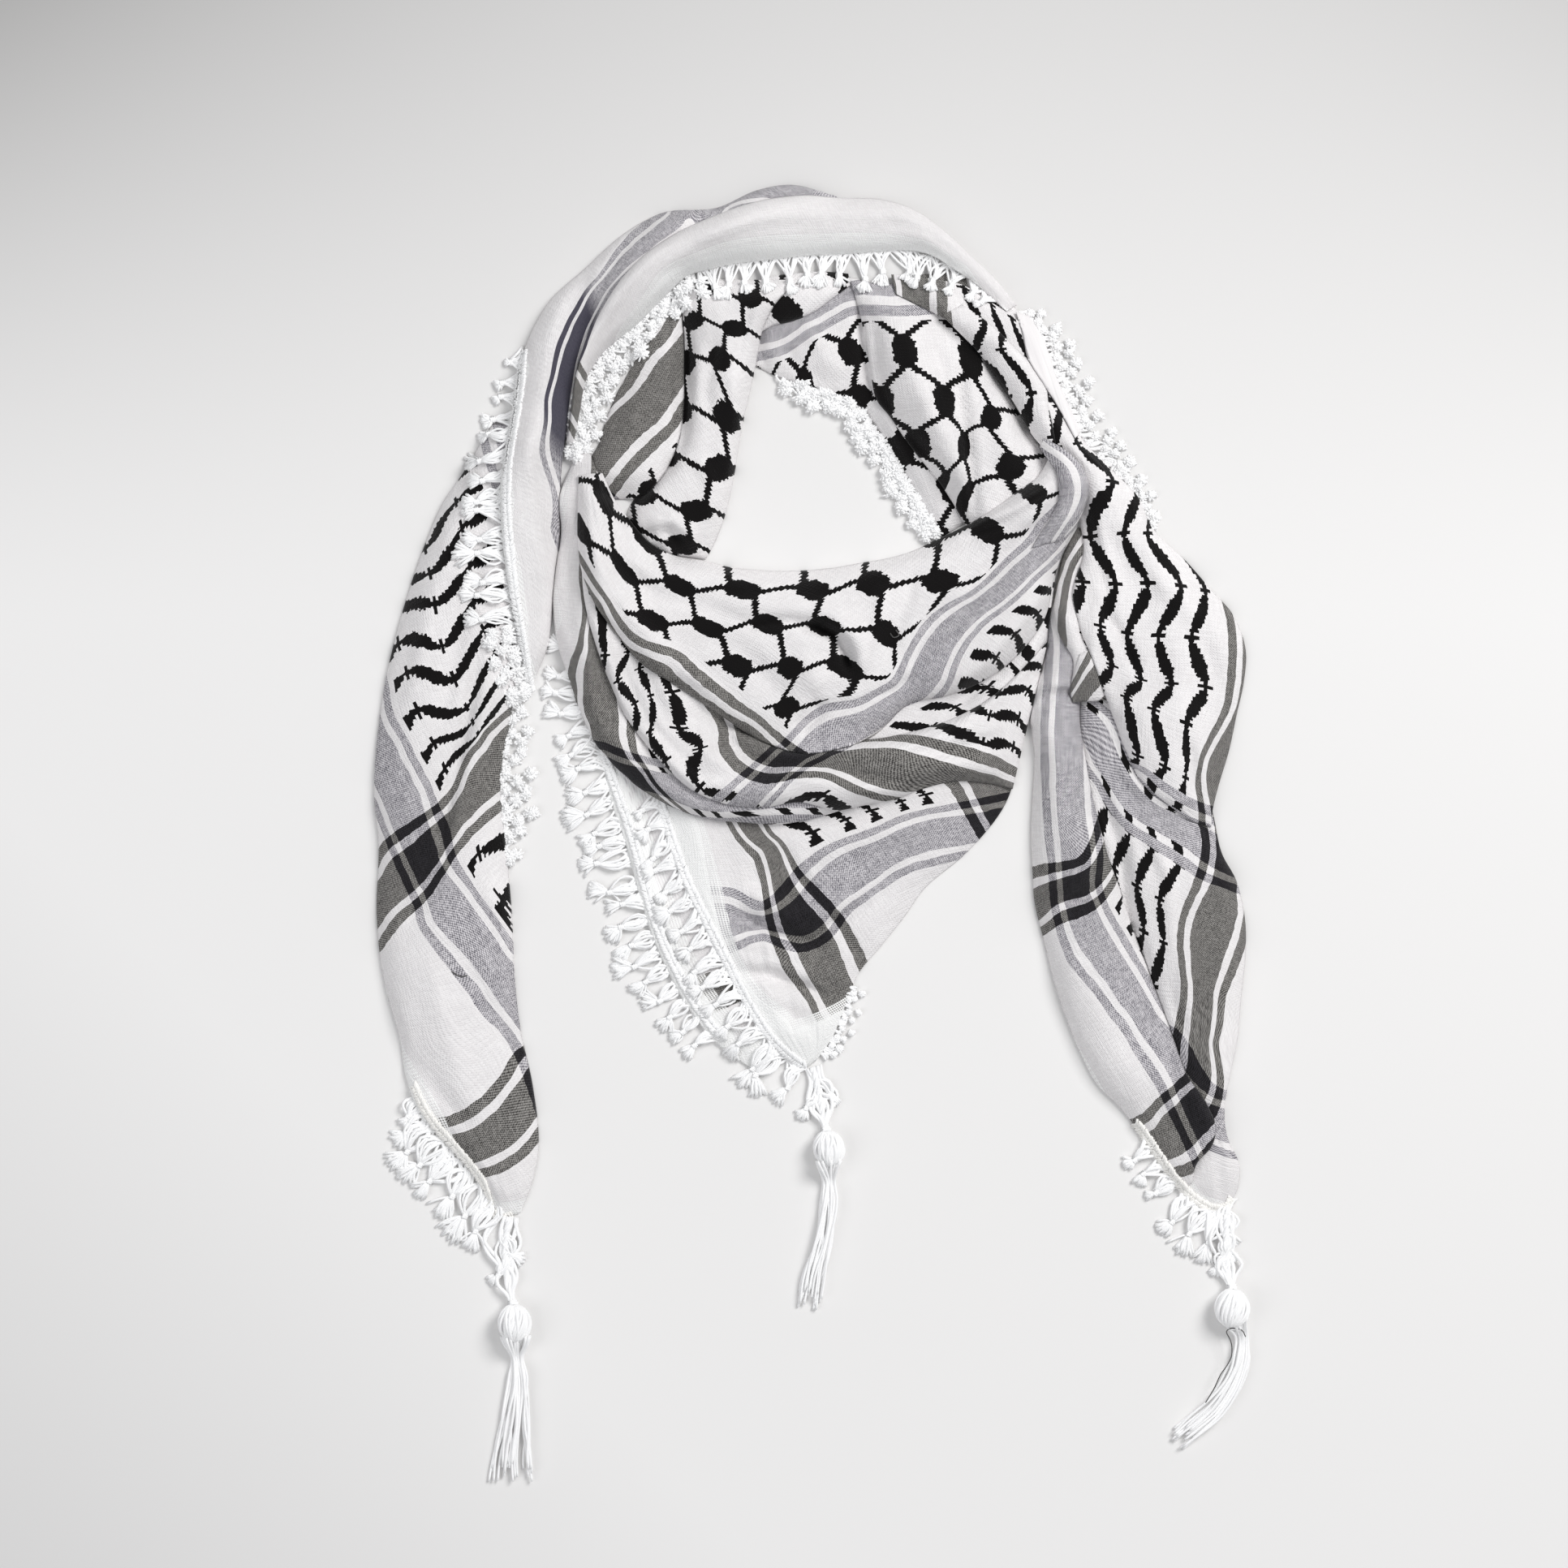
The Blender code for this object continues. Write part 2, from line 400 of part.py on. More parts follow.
def settle(points, triangles, rim, tree, laid):
    """Height of a stretch's underside: on the surface, or lifted just clear of what lies under it."""
    under = np.zeros(len(points))
    corners, shares, heights = resting_places(points, triangles, rim, tree, laid)
    if not corners:
        return under
    corners, shares, heights = np.array(corners), np.array(shares), np.array(heights)
    weight = shares / (shares**2).sum(axis=1, keepdims=True)
    for _ in range(SETTLING):
        short = heights - (under[corners] * shares).sum(axis=1)
        lift = np.zeros(len(points))
        np.maximum.at(lift, corners, np.maximum(short, 0)[:, None] * weight)
        under += lift
    short = np.maximum(heights - (under[corners] * shares).sum(axis=1), 0)
    lift = np.zeros(len(points))
    np.maximum.at(lift, corners, np.repeat(short[:, None], 3, axis=1))
    under += lift
    for corner in np.argsort(-under):
        held, side = np.nonzero((corners == corner) & (shares > 0.04))
        if under[corner] > 0 and len(held):
            spare = (under[corners[held]] * shares[held]).sum(axis=1) - heights[held]
            under[corner] -= min(max((spare / shares[held, side]).min(), 0), under[corner])
        elif under[corner] > 0 and not (corners == corner).any():
            under[corner] = 0
    return under


def drape(under, index):
    """The cloth over a step bridges it, so the top follows a smoothed copy of the underside."""
    over = under[index]
    for _ in range(SMOOTHING):
        padded = np.pad(over, 1, mode="edge")
        around = (padded[:-2, 1:-1] + padded[2:, 1:-1] + padded[1:-1, :-2] + padded[1:-1, 2:]) / 4
        over = np.maximum(under[index], around)
    return over.ravel()


def material(name, color, roughness):
    made = bpy.data.materials.new(name)
    made.use_nodes = True
    shader = made.node_tree.nodes["Principled BSDF"]
    shader.inputs["Base Color"].default_value = (*color, 1.0)
    shader.inputs["Roughness"].default_value = roughness
    shader.inputs["Metallic"].default_value = 0.0
    return made


def lay(name, sections, cell_along, cell_across, color, roughness, tree, laid, collection):
    """Makes one closed solid over what has been laid, and returns its points and triangles."""
    points, height, triangles, index, rim = plan_grid(sections, cell_along, cell_across)
    if signed_areas(points, triangles).sum() < 0:
        triangles, rim = triangles[:, ::-1], rim[::-1]
    under = settle(points, triangles, rim, tree, laid)
    top = drape(under, index) + HEM + height
    top = np.maximum(top, under + LEAST_WALL)
    count = len(points)
    ring = np.roll(rim, -1)
    upper = np.stack([rim, ring + count, ring], -1)
    lower = np.stack([rim, rim + count, ring + count], -1)
    faces = np.concatenate([triangles, triangles[:, ::-1] + count, upper, lower])
    solid = np.concatenate([np.column_stack([points, top]), np.column_stack([points, under])])
    mesh = bpy.data.meshes.new(name)
    mesh.from_pydata(((solid - (*CENTRE, 0)) * MM).tolist(), [], faces.tolist())
    mesh.update()
    mesh.materials.append(material(name, color, roughness))
    made = bpy.data.objects.new(name, mesh)
    collection.objects.link(made)
    return solid, faces


def edge_places(solid, faces):
    """Points spread along the edges of a solid, where a stretch laid later could catch on it."""
    ends = np.sort(np.concatenate([faces[:, [0, 1]], faces[:, [1, 2]], faces[:, [2, 0]]]), axis=1)
    ends = np.unique(ends, axis=0)
    start, end = solid[ends[:, 0]], solid[ends[:, 1]]
    return np.concatenate([start + (end - start) * share for share in np.linspace(0, 1, 8)])


def main():
    for old in list(bpy.data.objects):
        bpy.data.objects.remove(old, do_unlink=True)
    scarf = bpy.data.collections.new("keffiyeh_headscarf")
    bpy.context.scene.collection.children.link(scarf)
    corners, faces, edges, tree = [], [], np.zeros((0, 3)), None
    for name in ORDER:
        trim = name in FRINGE or name in TASSELS
        sections = FRINGE.get(name) or TASSELS.get(name) or CLOTH[name]
        along, across = (TRIM_CELL, TRIM_CELL) if trim else (CELL_ALONG, CELL_ACROSS)
        color, roughness = (THREAD_WHITE, 0.9) if trim else (CLOTH_WHITE, 0.85)
        solid, made = lay(name, sections, along, across, color, roughness, tree, edges, scarf)
        faces += [tuple(int(v) + len(corners) for v in face) for face in made]
        corners += [Vector(point) for point in solid]
        edges = np.concatenate([edges, edge_places(solid, made)])
        tree = BVHTree.FromPolygons(corners, faces)


main()
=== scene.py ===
# %% [markdown]
# # A keffiyeh headscarf, laid out as it is worn
# The scarf is one square of thin woven cotton with a knotted fringe and corner tassels, folded on the
# diagonal and wound into a cowl. Here each stretch of cloth that shows is built as a thin shell over its own
# solid, and the woven pattern is drawn from the cloth's own thread coordinates, so it bends with the folds.
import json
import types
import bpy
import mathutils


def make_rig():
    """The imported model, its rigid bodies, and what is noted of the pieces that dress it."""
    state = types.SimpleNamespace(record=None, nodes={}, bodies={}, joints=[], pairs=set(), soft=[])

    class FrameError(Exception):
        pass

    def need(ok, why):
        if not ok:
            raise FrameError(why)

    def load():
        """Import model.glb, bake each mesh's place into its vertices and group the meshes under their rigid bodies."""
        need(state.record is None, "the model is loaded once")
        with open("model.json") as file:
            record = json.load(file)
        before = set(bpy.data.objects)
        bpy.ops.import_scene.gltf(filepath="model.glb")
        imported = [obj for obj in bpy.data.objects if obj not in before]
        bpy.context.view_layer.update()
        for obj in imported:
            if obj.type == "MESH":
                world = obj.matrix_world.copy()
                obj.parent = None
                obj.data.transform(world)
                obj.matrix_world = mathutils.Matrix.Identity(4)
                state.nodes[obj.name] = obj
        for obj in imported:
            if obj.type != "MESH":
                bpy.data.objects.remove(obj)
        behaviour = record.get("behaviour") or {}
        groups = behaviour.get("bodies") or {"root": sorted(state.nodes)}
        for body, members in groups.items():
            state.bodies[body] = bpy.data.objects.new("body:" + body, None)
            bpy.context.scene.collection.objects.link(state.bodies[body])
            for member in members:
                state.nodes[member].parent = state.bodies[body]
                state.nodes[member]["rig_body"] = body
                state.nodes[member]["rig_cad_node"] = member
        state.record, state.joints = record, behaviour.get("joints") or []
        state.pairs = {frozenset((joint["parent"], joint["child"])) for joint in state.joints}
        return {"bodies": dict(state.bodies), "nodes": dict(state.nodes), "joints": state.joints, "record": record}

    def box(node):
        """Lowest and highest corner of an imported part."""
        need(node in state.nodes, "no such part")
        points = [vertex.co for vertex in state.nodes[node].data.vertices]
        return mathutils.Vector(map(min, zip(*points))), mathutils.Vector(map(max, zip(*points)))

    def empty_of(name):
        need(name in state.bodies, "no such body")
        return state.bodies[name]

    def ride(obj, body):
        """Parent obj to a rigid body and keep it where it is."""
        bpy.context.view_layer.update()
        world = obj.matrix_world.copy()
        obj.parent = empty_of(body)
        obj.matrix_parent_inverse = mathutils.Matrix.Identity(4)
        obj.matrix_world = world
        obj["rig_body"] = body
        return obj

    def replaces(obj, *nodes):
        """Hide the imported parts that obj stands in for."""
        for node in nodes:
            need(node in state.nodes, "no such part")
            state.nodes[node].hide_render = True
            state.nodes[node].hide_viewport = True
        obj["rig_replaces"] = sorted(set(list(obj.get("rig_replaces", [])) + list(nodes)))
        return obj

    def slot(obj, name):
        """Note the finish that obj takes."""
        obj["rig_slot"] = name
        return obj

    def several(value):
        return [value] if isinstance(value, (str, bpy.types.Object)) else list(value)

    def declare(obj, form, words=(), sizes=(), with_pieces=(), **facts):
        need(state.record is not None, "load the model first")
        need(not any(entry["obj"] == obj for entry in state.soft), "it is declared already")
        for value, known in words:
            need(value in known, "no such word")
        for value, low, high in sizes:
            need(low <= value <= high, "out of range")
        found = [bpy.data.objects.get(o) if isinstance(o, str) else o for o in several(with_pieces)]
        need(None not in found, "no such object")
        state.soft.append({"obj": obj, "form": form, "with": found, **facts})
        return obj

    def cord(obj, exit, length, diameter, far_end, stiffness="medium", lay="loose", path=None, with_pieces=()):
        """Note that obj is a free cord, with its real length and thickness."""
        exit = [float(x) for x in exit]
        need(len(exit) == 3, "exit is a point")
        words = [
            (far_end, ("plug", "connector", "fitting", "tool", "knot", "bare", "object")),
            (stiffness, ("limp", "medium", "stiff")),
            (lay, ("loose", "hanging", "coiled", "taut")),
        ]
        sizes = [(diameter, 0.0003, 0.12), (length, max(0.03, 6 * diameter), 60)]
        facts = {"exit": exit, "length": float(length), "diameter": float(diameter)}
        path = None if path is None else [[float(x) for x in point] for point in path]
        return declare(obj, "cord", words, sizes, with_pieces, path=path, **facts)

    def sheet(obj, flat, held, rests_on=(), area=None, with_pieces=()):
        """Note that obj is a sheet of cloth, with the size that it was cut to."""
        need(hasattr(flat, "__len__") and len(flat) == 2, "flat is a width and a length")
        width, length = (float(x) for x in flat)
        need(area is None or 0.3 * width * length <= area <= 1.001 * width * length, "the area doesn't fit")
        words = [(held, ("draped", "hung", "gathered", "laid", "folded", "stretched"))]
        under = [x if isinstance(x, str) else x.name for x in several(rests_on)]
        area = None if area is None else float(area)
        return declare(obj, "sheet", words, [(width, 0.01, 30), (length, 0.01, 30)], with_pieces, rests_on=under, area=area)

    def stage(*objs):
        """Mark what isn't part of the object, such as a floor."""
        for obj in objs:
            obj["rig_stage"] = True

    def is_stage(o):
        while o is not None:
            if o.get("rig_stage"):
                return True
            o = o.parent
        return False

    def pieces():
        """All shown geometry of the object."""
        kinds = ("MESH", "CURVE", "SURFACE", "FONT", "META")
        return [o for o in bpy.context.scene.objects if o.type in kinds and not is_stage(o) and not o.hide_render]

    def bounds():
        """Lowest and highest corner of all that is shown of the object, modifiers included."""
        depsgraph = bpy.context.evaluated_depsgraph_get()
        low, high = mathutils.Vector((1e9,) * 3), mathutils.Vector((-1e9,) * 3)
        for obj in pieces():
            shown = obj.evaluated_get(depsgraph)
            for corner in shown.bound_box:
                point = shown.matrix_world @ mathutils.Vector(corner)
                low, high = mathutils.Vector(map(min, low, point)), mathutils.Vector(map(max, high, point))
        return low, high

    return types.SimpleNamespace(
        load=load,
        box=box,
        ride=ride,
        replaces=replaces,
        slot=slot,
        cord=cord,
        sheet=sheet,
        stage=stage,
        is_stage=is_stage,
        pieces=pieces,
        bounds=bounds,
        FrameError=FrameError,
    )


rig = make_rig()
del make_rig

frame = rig.load()
cad_low, cad_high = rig.bounds()

import json
import math
import re

import bpy
import numpy as np

# The tables are in millimetres. CENTRE is where the middle of the whole scarf's box lies in them.
MM = 0.001
CENTRE = (0.68, 0.36)
print("CAD box in mm:", [round(v / MM) for v in (*cad_low, *cad_high)])

# %% [markdown]
# ## Camera
# A flat lay is looked at from straight above with a long lens, so heights barely shift anything sideways.

# %% Camera
VIEW_CENTRE = (-0.0155, 0.0281)
VIEW_WIDTH = 0.8945
VIEW_HEIGHT = 3.0
CLOTH_LEVEL = 0.012
SENSOR = 36.0
FARTHEST = 20.0

camera_data = bpy.data.cameras.new("overhead_camera")
camera_data.sensor_width = SENSOR
camera_data.lens = SENSOR * (VIEW_HEIGHT - CLOTH_LEVEL) / VIEW_WIDTH
camera_data.clip_end = FARTHEST
camera = bpy.data.objects.new("overhead_camera", camera_data)
camera.location = (*VIEW_CENTRE, VIEW_HEIGHT)
bpy.context.scene.collection.objects.link(camera)
bpy.context.scene.camera = camera
print("camera lens:", round(camera_data.lens, 1))

# %% [markdown]
# ## The stretches of cloth
# A maker would lay the scarf out and look at which stretches show. Each is a ribbon of cloth between a left
# and a right edge, given here by cross sections in millimetres: left x, left y, right x, right y, crown.

# %% Cross sections of the cloth
CLOTH = {
    "neck_back": [
        (-34, 300, -38.5, 272, 5), (-17.5, 316, -22, 263, 6), (5.5, 318.5, -3.5, 257, 7),
        (28.5, 317.5, 14, 252, 7), (47, 304.5, 28, 245, 7), (62, 281.5, 40.5, 229.5, 7),
        (75, 253.5, 51, 212.5, 7), (86.5, 225.5, 60, 197, 6), (97, 202.5, 68.5, 181.5, 6),
        (103.5, 186.5, 76, 170, 5),
    ],
    "bib_under": [
        (-119.5, 47.5, -68.5, 47.5, 4), (-114, 19.5, -61.5, 19.5, 4), (-106, -4, -52.5, -4, 4),
        (-97.5, -35, -43, -33.5, 4), (-90, -59.5, -34, -56.5, 4), (-81.5, -78.5, -24.5, -75, 4),
        (-71, -97.5, -15.5, -91.5, 4), (-54.5, -119, -6, -105.5, 4), (-34, -134.5, 1, -117, 3),
    ],
    "bib": [
        (-95.5, 47.5, 122, 59, 8), (-91.5, 31.5, 118.5, 36, 9), (-85, 10.5, 110, 13.5, 10),
        (-78.5, -11, 89, -11.5, 9), (-71, -31.5, 65.5, -31.5, 8), (-62.5, -47.5, 54.5, -47, 8),
        (-53, -67, 41, -64, 7), (-42, -87.5, 28.5, -79, 6), (-31.5, -107.5, 23, -91.5, 5),
        (-21.5, -120.5, 18, -104, 5), (-11, -130, 12, -118, 4), (-3, -134.5, 3.5, -130, 3),
    ],
    "left_tail": [
        (-181.5, 235, -145.5, 235, 14), (-199, 206, -151, 208, 16), (-209.5, 190.5, -156.5, 187.5, 17),
        (-219.5, 168, -161, 161, 18), (-230, 138, -163.5, 133, 18), (-241, 97, -166, 98.5, 18),
        (-247, 60.5, -172, 62.5, 18), (-249.5, 24, -177, 29.5, 17), (-247, -7, -174, -6, 16),
        (-248, -47.5, -170.5, -47.5, 15), (-243, -88.5, -168.5, -88.5, 14),
        (-235.5, -114.5, -165.5, -113, 13), (-231, -140, -159, -142.5, 12), (-223, -159.5, -155.5, -169, 11),
        (-209.5, -176, -155.5, -184, 10), (-196, -191, -158, -196.5, 9), (-185, -207, -162, -208.5, 7),
        (-178, -219, -166, -217.5, 5),
    ],
    "left_roll": [
        (15, 365, 17.5, 362, 3), (-9.5, 371.5, -3.5, 354.5, 9), (-30, 368.5, -23, 347, 12),
        (-53, 358.5, -43, 337, 15), (-84.5, 355.5, -68.5, 328.5, 18), (-106, 344, -86, 314.5, 20),
        (-128.5, 324, -102, 299, 21), (-149.5, 304.5, -114, 285, 21), (-160, 286, -120.5, 272, 21),
        (-166, 269, -126, 258, 20), (-169.5, 249, -132.5, 242, 19), (-172, 225.5, -139.5, 225.5, 18),
        (-175.5, 207, -142, 209.5, 17), (-176, 179.5, -142.5, 179.5, 16), (-173.5, 151.5, -144, 151.5, 15),
        (-170, 128.5, -147, 128.5, 13), (-166, 107.5, -150, 107.5, 10), (-162.5, 87.5, -158.5, 86, 5),
    ],
    "tail_panel": [
        (153.5, 82, 223, 82, 6), (154.5, 56.5, 225, 56.5, 7), (155.5, 31.5, 228, 29, 8),
        (158.5, 10.5, 232, 6, 10), (164, -10.5, 236, -11.5, 12), (170.5, -29, 244, -26.5, 13),
        (178.5, -50, 249, -47.5, 13), (187, -73, 249.5, -70.5, 13), (195.5, -96, 247, -94, 12),
        (203.5, -119, 245, -117, 11), (210, -140, 241, -137.5, 10), (215, -158.5, 237.5, -156.5, 9),
        (220.5, -175, 239, -173.5, 8), (211, -191, 246, -190, 7), (214, -204, 245, -203, 5),
        (226, -215.5, 240, -214, 4),
    ],
    "tail_blue": [
        (136, 135.5, 159.5, 135.5, 8), (135.5, 117, 160, 117, 10), (134.5, 101, 158.5, 101, 12),
        (128.5, 83, 155.5, 82, 13), (126, 66, 154.5, 66, 14), (128.5, 45, 157.5, 45, 14),
        (127.5, 22, 161, 24.5, 14), (126.5, -1, 166, 3.5, 15), (127.5, -21.5, 171.5, -16, 16),
        (128.5, -38, 178, -33.5, 15), (133.5, -59.5, 185, -54.5, 14), (139, -82, 192.5, -75, 14),
        (146, -104, 200, -96, 13), (154.5, -125, 207.5, -116, 12), (164, -143, 215, -136.5, 11),
        (178, -157.5, 227, -155, 10), (188, -170, 231.5, -167, 9), (197.5, -184.5, 229, -179, 8),
        (206, -196, 221, -188.5, 7), (213, -204.5, 218, -200, 5),
    ],
    "tail_flap": [
        (153.5, 175.5, 164, 172.5, 4), (145.5, 161, 168.5, 156.5, 6), (141, 144.5, 173, 137.5, 7),
        (139, 128.5, 175, 121.5, 7), (142.5, 112.5, 177, 105.5, 7), (150, 98.5, 178.5, 89, 6),
        (150, 88.5, 174, 82, 5), (151, 80.5, 167.5, 77.5, 3),
    ],
    "neck_left": [
        (-75, 318.5, -6, 316, 8), (-74, 303.5, -18.5, 303.5, 12), (-72.5, 288, -26.5, 289.5, 14),
        (-72, 269.5, -29.5, 275.5, 15), (-72.5, 251, -33, 258, 15), (-74, 232.5, -37.5, 238.5, 14),
        (-79.5, 215.5, -40.5, 222, 14), (-89, 202.5, -43, 206.5, 13), (-100, 192.5, -46, 191.5, 13),
        (-104.5, 180.5, -50, 177.5, 12), (-98, 169, -54.5, 166.5, 10), (-86, 160, -59.5, 157, 8),
    ],
    "neck_panel": [
        (-80.5, 300, -74, 303.5, 3), (-87, 289.5, -73, 291.5, 6), (-96.5, 279, -72, 277.5, 8),
        (-103.5, 265, -72, 262, 9), (-111, 251, -72, 248, 9), (-117, 236.5, -73, 235, 9),
        (-121.5, 222, -76, 222, 9), (-127, 212, -80.5, 211, 10), (-128, 203.5, -86, 202.5, 9),
        (-120.5, 196, -93.5, 195, 6), (-112, 191.5, -101, 191.5, 3),
    ],
    "neck_right": [
        (23, 316, 82.5, 313, 10), (28.5, 297.5, 89, 294, 13), (31.5, 281.5, 96.5, 281.5, 15),
        (34.5, 265, 104.5, 268.5, 17), (38, 248, 114, 253.5, 18), (46, 238, 122, 240.5, 18),
        (53.5, 226.5, 129.5, 228, 18), (63, 214, 138, 216.5, 17), (74, 200.5, 142.5, 202.5, 16),
        (82.5, 187.5, 141.5, 191, 14), (89, 177, 135, 179.5, 12), (96.5, 168.5, 127, 168.5, 8),
    ],
    "shoulder_tail": [
        (53, 319, 96, 323, 4), (66.5, 302.5, 115, 303.5, 9), (83.5, 289.5, 126, 291.5, 13),
        (96.5, 276.5, 133.5, 279.5, 15), (109.5, 256.5, 139, 262, 16), (119.5, 240.5, 145.5, 244, 16),
        (130.5, 223.5, 156.5, 225.5, 16), (141, 207, 172, 209, 16), (150, 189.5, 188, 192.5, 15),
        (155.5, 172.5, 197, 174, 14), (155.5, 156.5, 216, 155.5, 13), (150, 139.5, 229.5, 140, 13),
        (153, 120, 242.5, 125, 13), (159.5, 102.5, 249.5, 105.5, 13), (166.5, 84, 248.5, 87, 12),
        (174, 64.5, 244.5, 68.5, 12), (180.5, 47, 240, 47.5, 11), (191, 27.5, 234, 27.5, 9),
        (204.5, 16.5, 230.5, 13.5, 7), (216.5, 8, 229.5, 3.5, 4),
    ],
    "cowl_lip": [
        (-133, 219, -126, 218, 3), (-143, 193.5, -117, 194, 9), (-142.5, 172.5, -115, 172.5, 11),
        (-145.5, 149.5, -114, 149.5, 13), (-147, 131, -111, 131, 14), (-145, 110, -106.5, 112.5, 14),
        (-138.5, 90.5, -100, 94, 14), (-132.5, 72, -93.5, 76.5, 13), (-123, 52, -86, 61.5, 13),
        (-111, 38, -77, 50, 12), (-96.5, 25.5, -65.5, 39.5, 12), (-78, 15, -53.5, 33.5, 11),
        (-58.5, 8.5, -38.5, 31.5, 10), (-38.5, 6.5, -23, 31.5, 9), (-16.5, 5.5, -6, 30.5, 8),
        (3, 9, 10, 29, 6), (23, 15, 24, 29, 4),
    ],
    "cowl_under": [
        (119, 151.5, 141, 151.5, 6), (108.5, 135.5, 137, 121.5, 8), (93.5, 117, 133, 100, 9),
        (79.5, 103, 117.5, 82, 9), (61, 91.5, 100.5, 68.5, 9), (40.5, 82, 75, 56.5, 8),
        (19.5, 73, 46.5, 47.5, 7), (3, 63.5, 22, 43, 5),
    ],
    "cowl_mid": [
        (-130.5, 156.5, -114, 156.5, 5), (-128.5, 133, -106.5, 137, 8), (-122, 107.5, -95.5, 119, 11),
        (-114, 86, -82.5, 105.5, 12), (-105.5, 67.5, -69.5, 94, 13), (-95.5, 53.5, -56.5, 83, 13),
        (-83.5, 39.5, -44.5, 75, 13), (-69.5, 26.5, -31.5, 68.5, 13), (-50, 17.5, -16.5, 61.5, 13),
        (-27, 15, 1, 56.5, 13), (-6, 18, 17.5, 54.5, 13), (15, 13.5, 34.5, 54, 14),
        (32.5, 16.5, 50, 56.5, 15), (49.5, 20, 68, 61, 15), (65.5, 26, 85, 67.5, 14),
        (83.5, 30, 101, 76.5, 13), (101, 29, 116.5, 89.5, 12), (116, 25.5, 136, 110, 8),
    ],
    "back_roll": [
        (-139.5, 223.5, -135.5, 221.5, 4), (-136.5, 243, -131.5, 241, 7), (-133.5, 262, -127.5, 259.5, 10),
        (-128.5, 280.5, -118, 275, 13), (-117.5, 301.5, -98, 292, 16), (-106.5, 316.5, -82.5, 307.5, 18),
        (-94, 329.5, -70.5, 318.5, 18), (-77, 341.5, -56.5, 323, 18), (-53.5, 352.5, -40, 326.5, 18),
        (-29, 361, -21.5, 328.5, 17), (-6, 364.5, -3, 330.5, 16), (17, 364, 18.5, 331.5, 16),
        (41.5, 363, 40.5, 333, 15), (61, 356.5, 58.5, 333.5, 14), (77, 345, 70.5, 330.5, 12),
        (91.5, 331.5, 83.5, 322, 10), (106.5, 317, 98, 311, 8), (118.5, 302.5, 112, 298, 5),
    ],
    "cowl_front": [
        (-118.5, 206, -132, 205, 8), (-111.5, 191, -132.5, 186.5, 12), (-103, 179.5, -132.5, 168, 15),
        (-91.5, 166.5, -130, 149.5, 17), (-78, 159.5, -123, 132, 18), (-61, 156.5, -111.5, 115.5, 19),
        (-47.5, 153, -95.5, 96.5, 20), (-36, 151.5, -75.5, 84, 20), (-23, 150.5, -52.5, 68.5, 20),
        (-10.5, 150.5, -27, 52.5, 20), (1, 151, -6, 46, 20), (15, 152.5, 15, 48, 20),
        (28.5, 155, 37, 56.5, 20), (43.5, 157.5, 56.5, 74, 20), (59, 162, 79.5, 79, 20),
        (72.5, 168.5, 103, 89.5, 20), (86.5, 175, 122, 105.5, 19), (98, 181, 134.5, 124, 18),
        (108.5, 188, 140, 147, 17), (119, 196, 148, 168, 16), (128.5, 202.5, 156, 184, 14),
        (134.5, 211, 157.5, 200, 10), (138, 218.5, 151, 213.5, 5),
    ],
    "neck_fold": [
        (-32.5, 316, -31.5, 285, 4), (-22, 319, -21.5, 290, 6), (-10.5, 320.5, -9.5, 293, 7),
        (1, 321.5, 2.5, 298, 6), (12.5, 321.5, 14, 306.5, 5), (22, 320.5, 23, 313.5, 3),
    ],
    "tail_tuck": [
        (153.5, 102.5, 160.5, 105.5, 3), (150, 91.5, 165, 95, 5), (148.5, 82, 168.5, 84.5, 5),
        (149.5, 75, 170.5, 76.5, 3),
    ],
    "neck_stripes": [
        (46.5, 320, 49, 308, 2), (56.5, 319, 59.5, 302.5, 2), (66.5, 317.5, 70.5, 297, 3),
        (77.5, 315.5, 80.5, 291.5, 3), (88, 313, 92, 285, 3), (98, 306.5, 102, 279.5, 3),
        (108.5, 300, 110, 275, 2), (117.5, 293.5, 118.5, 271, 2), (122, 290.5, 124, 269, 1),
    ],
    "shoulder_pleat": [
        (75, 295, 86.5, 301.5, 2), (84.5, 286, 103.5, 289.5, 4), (95, 275.5, 116.5, 277.5, 6),
        (103.5, 264.5, 127, 266.5, 7), (112, 252.5, 134, 256.5, 7), (120, 239.5, 136, 243, 6),
        (127, 227, 138.5, 230.5, 5), (134.5, 218.5, 140.5, 220, 3),
    ],
    "band_loop": [
        (132.5, 225, 131, 220.5, 2), (140, 222, 135, 213.5, 5), (148, 216.5, 139.5, 206.5, 7),
        (155, 208.5, 141, 199, 8), (158.5, 199, 141, 189.5, 8), (157, 187.5, 136, 179.5, 8),
        (151, 175.5, 130.5, 171, 6), (143.5, 167.5, 126, 162.5, 3),
    ],
    "shoulder_edge": [
        (117.5, 298, 125, 296, 1), (121, 285, 131, 287, 2), (124, 271, 136.5, 274, 2),
        (132.5, 256.5, 141, 260, 2), (141, 244, 147.5, 246, 2), (151, 225.5, 155, 229.5, 1),
    ],
}
print(len(CLOTH), "stretches of cloth")

# %% [markdown]
# ## Fringe and tassels
# Each run of fringe and each tassel has cross sections too. Along a fringe the left edge is the hem, where
# the strings leave the cloth, and the right edge is how far they reach. Tassels hang from the corners.

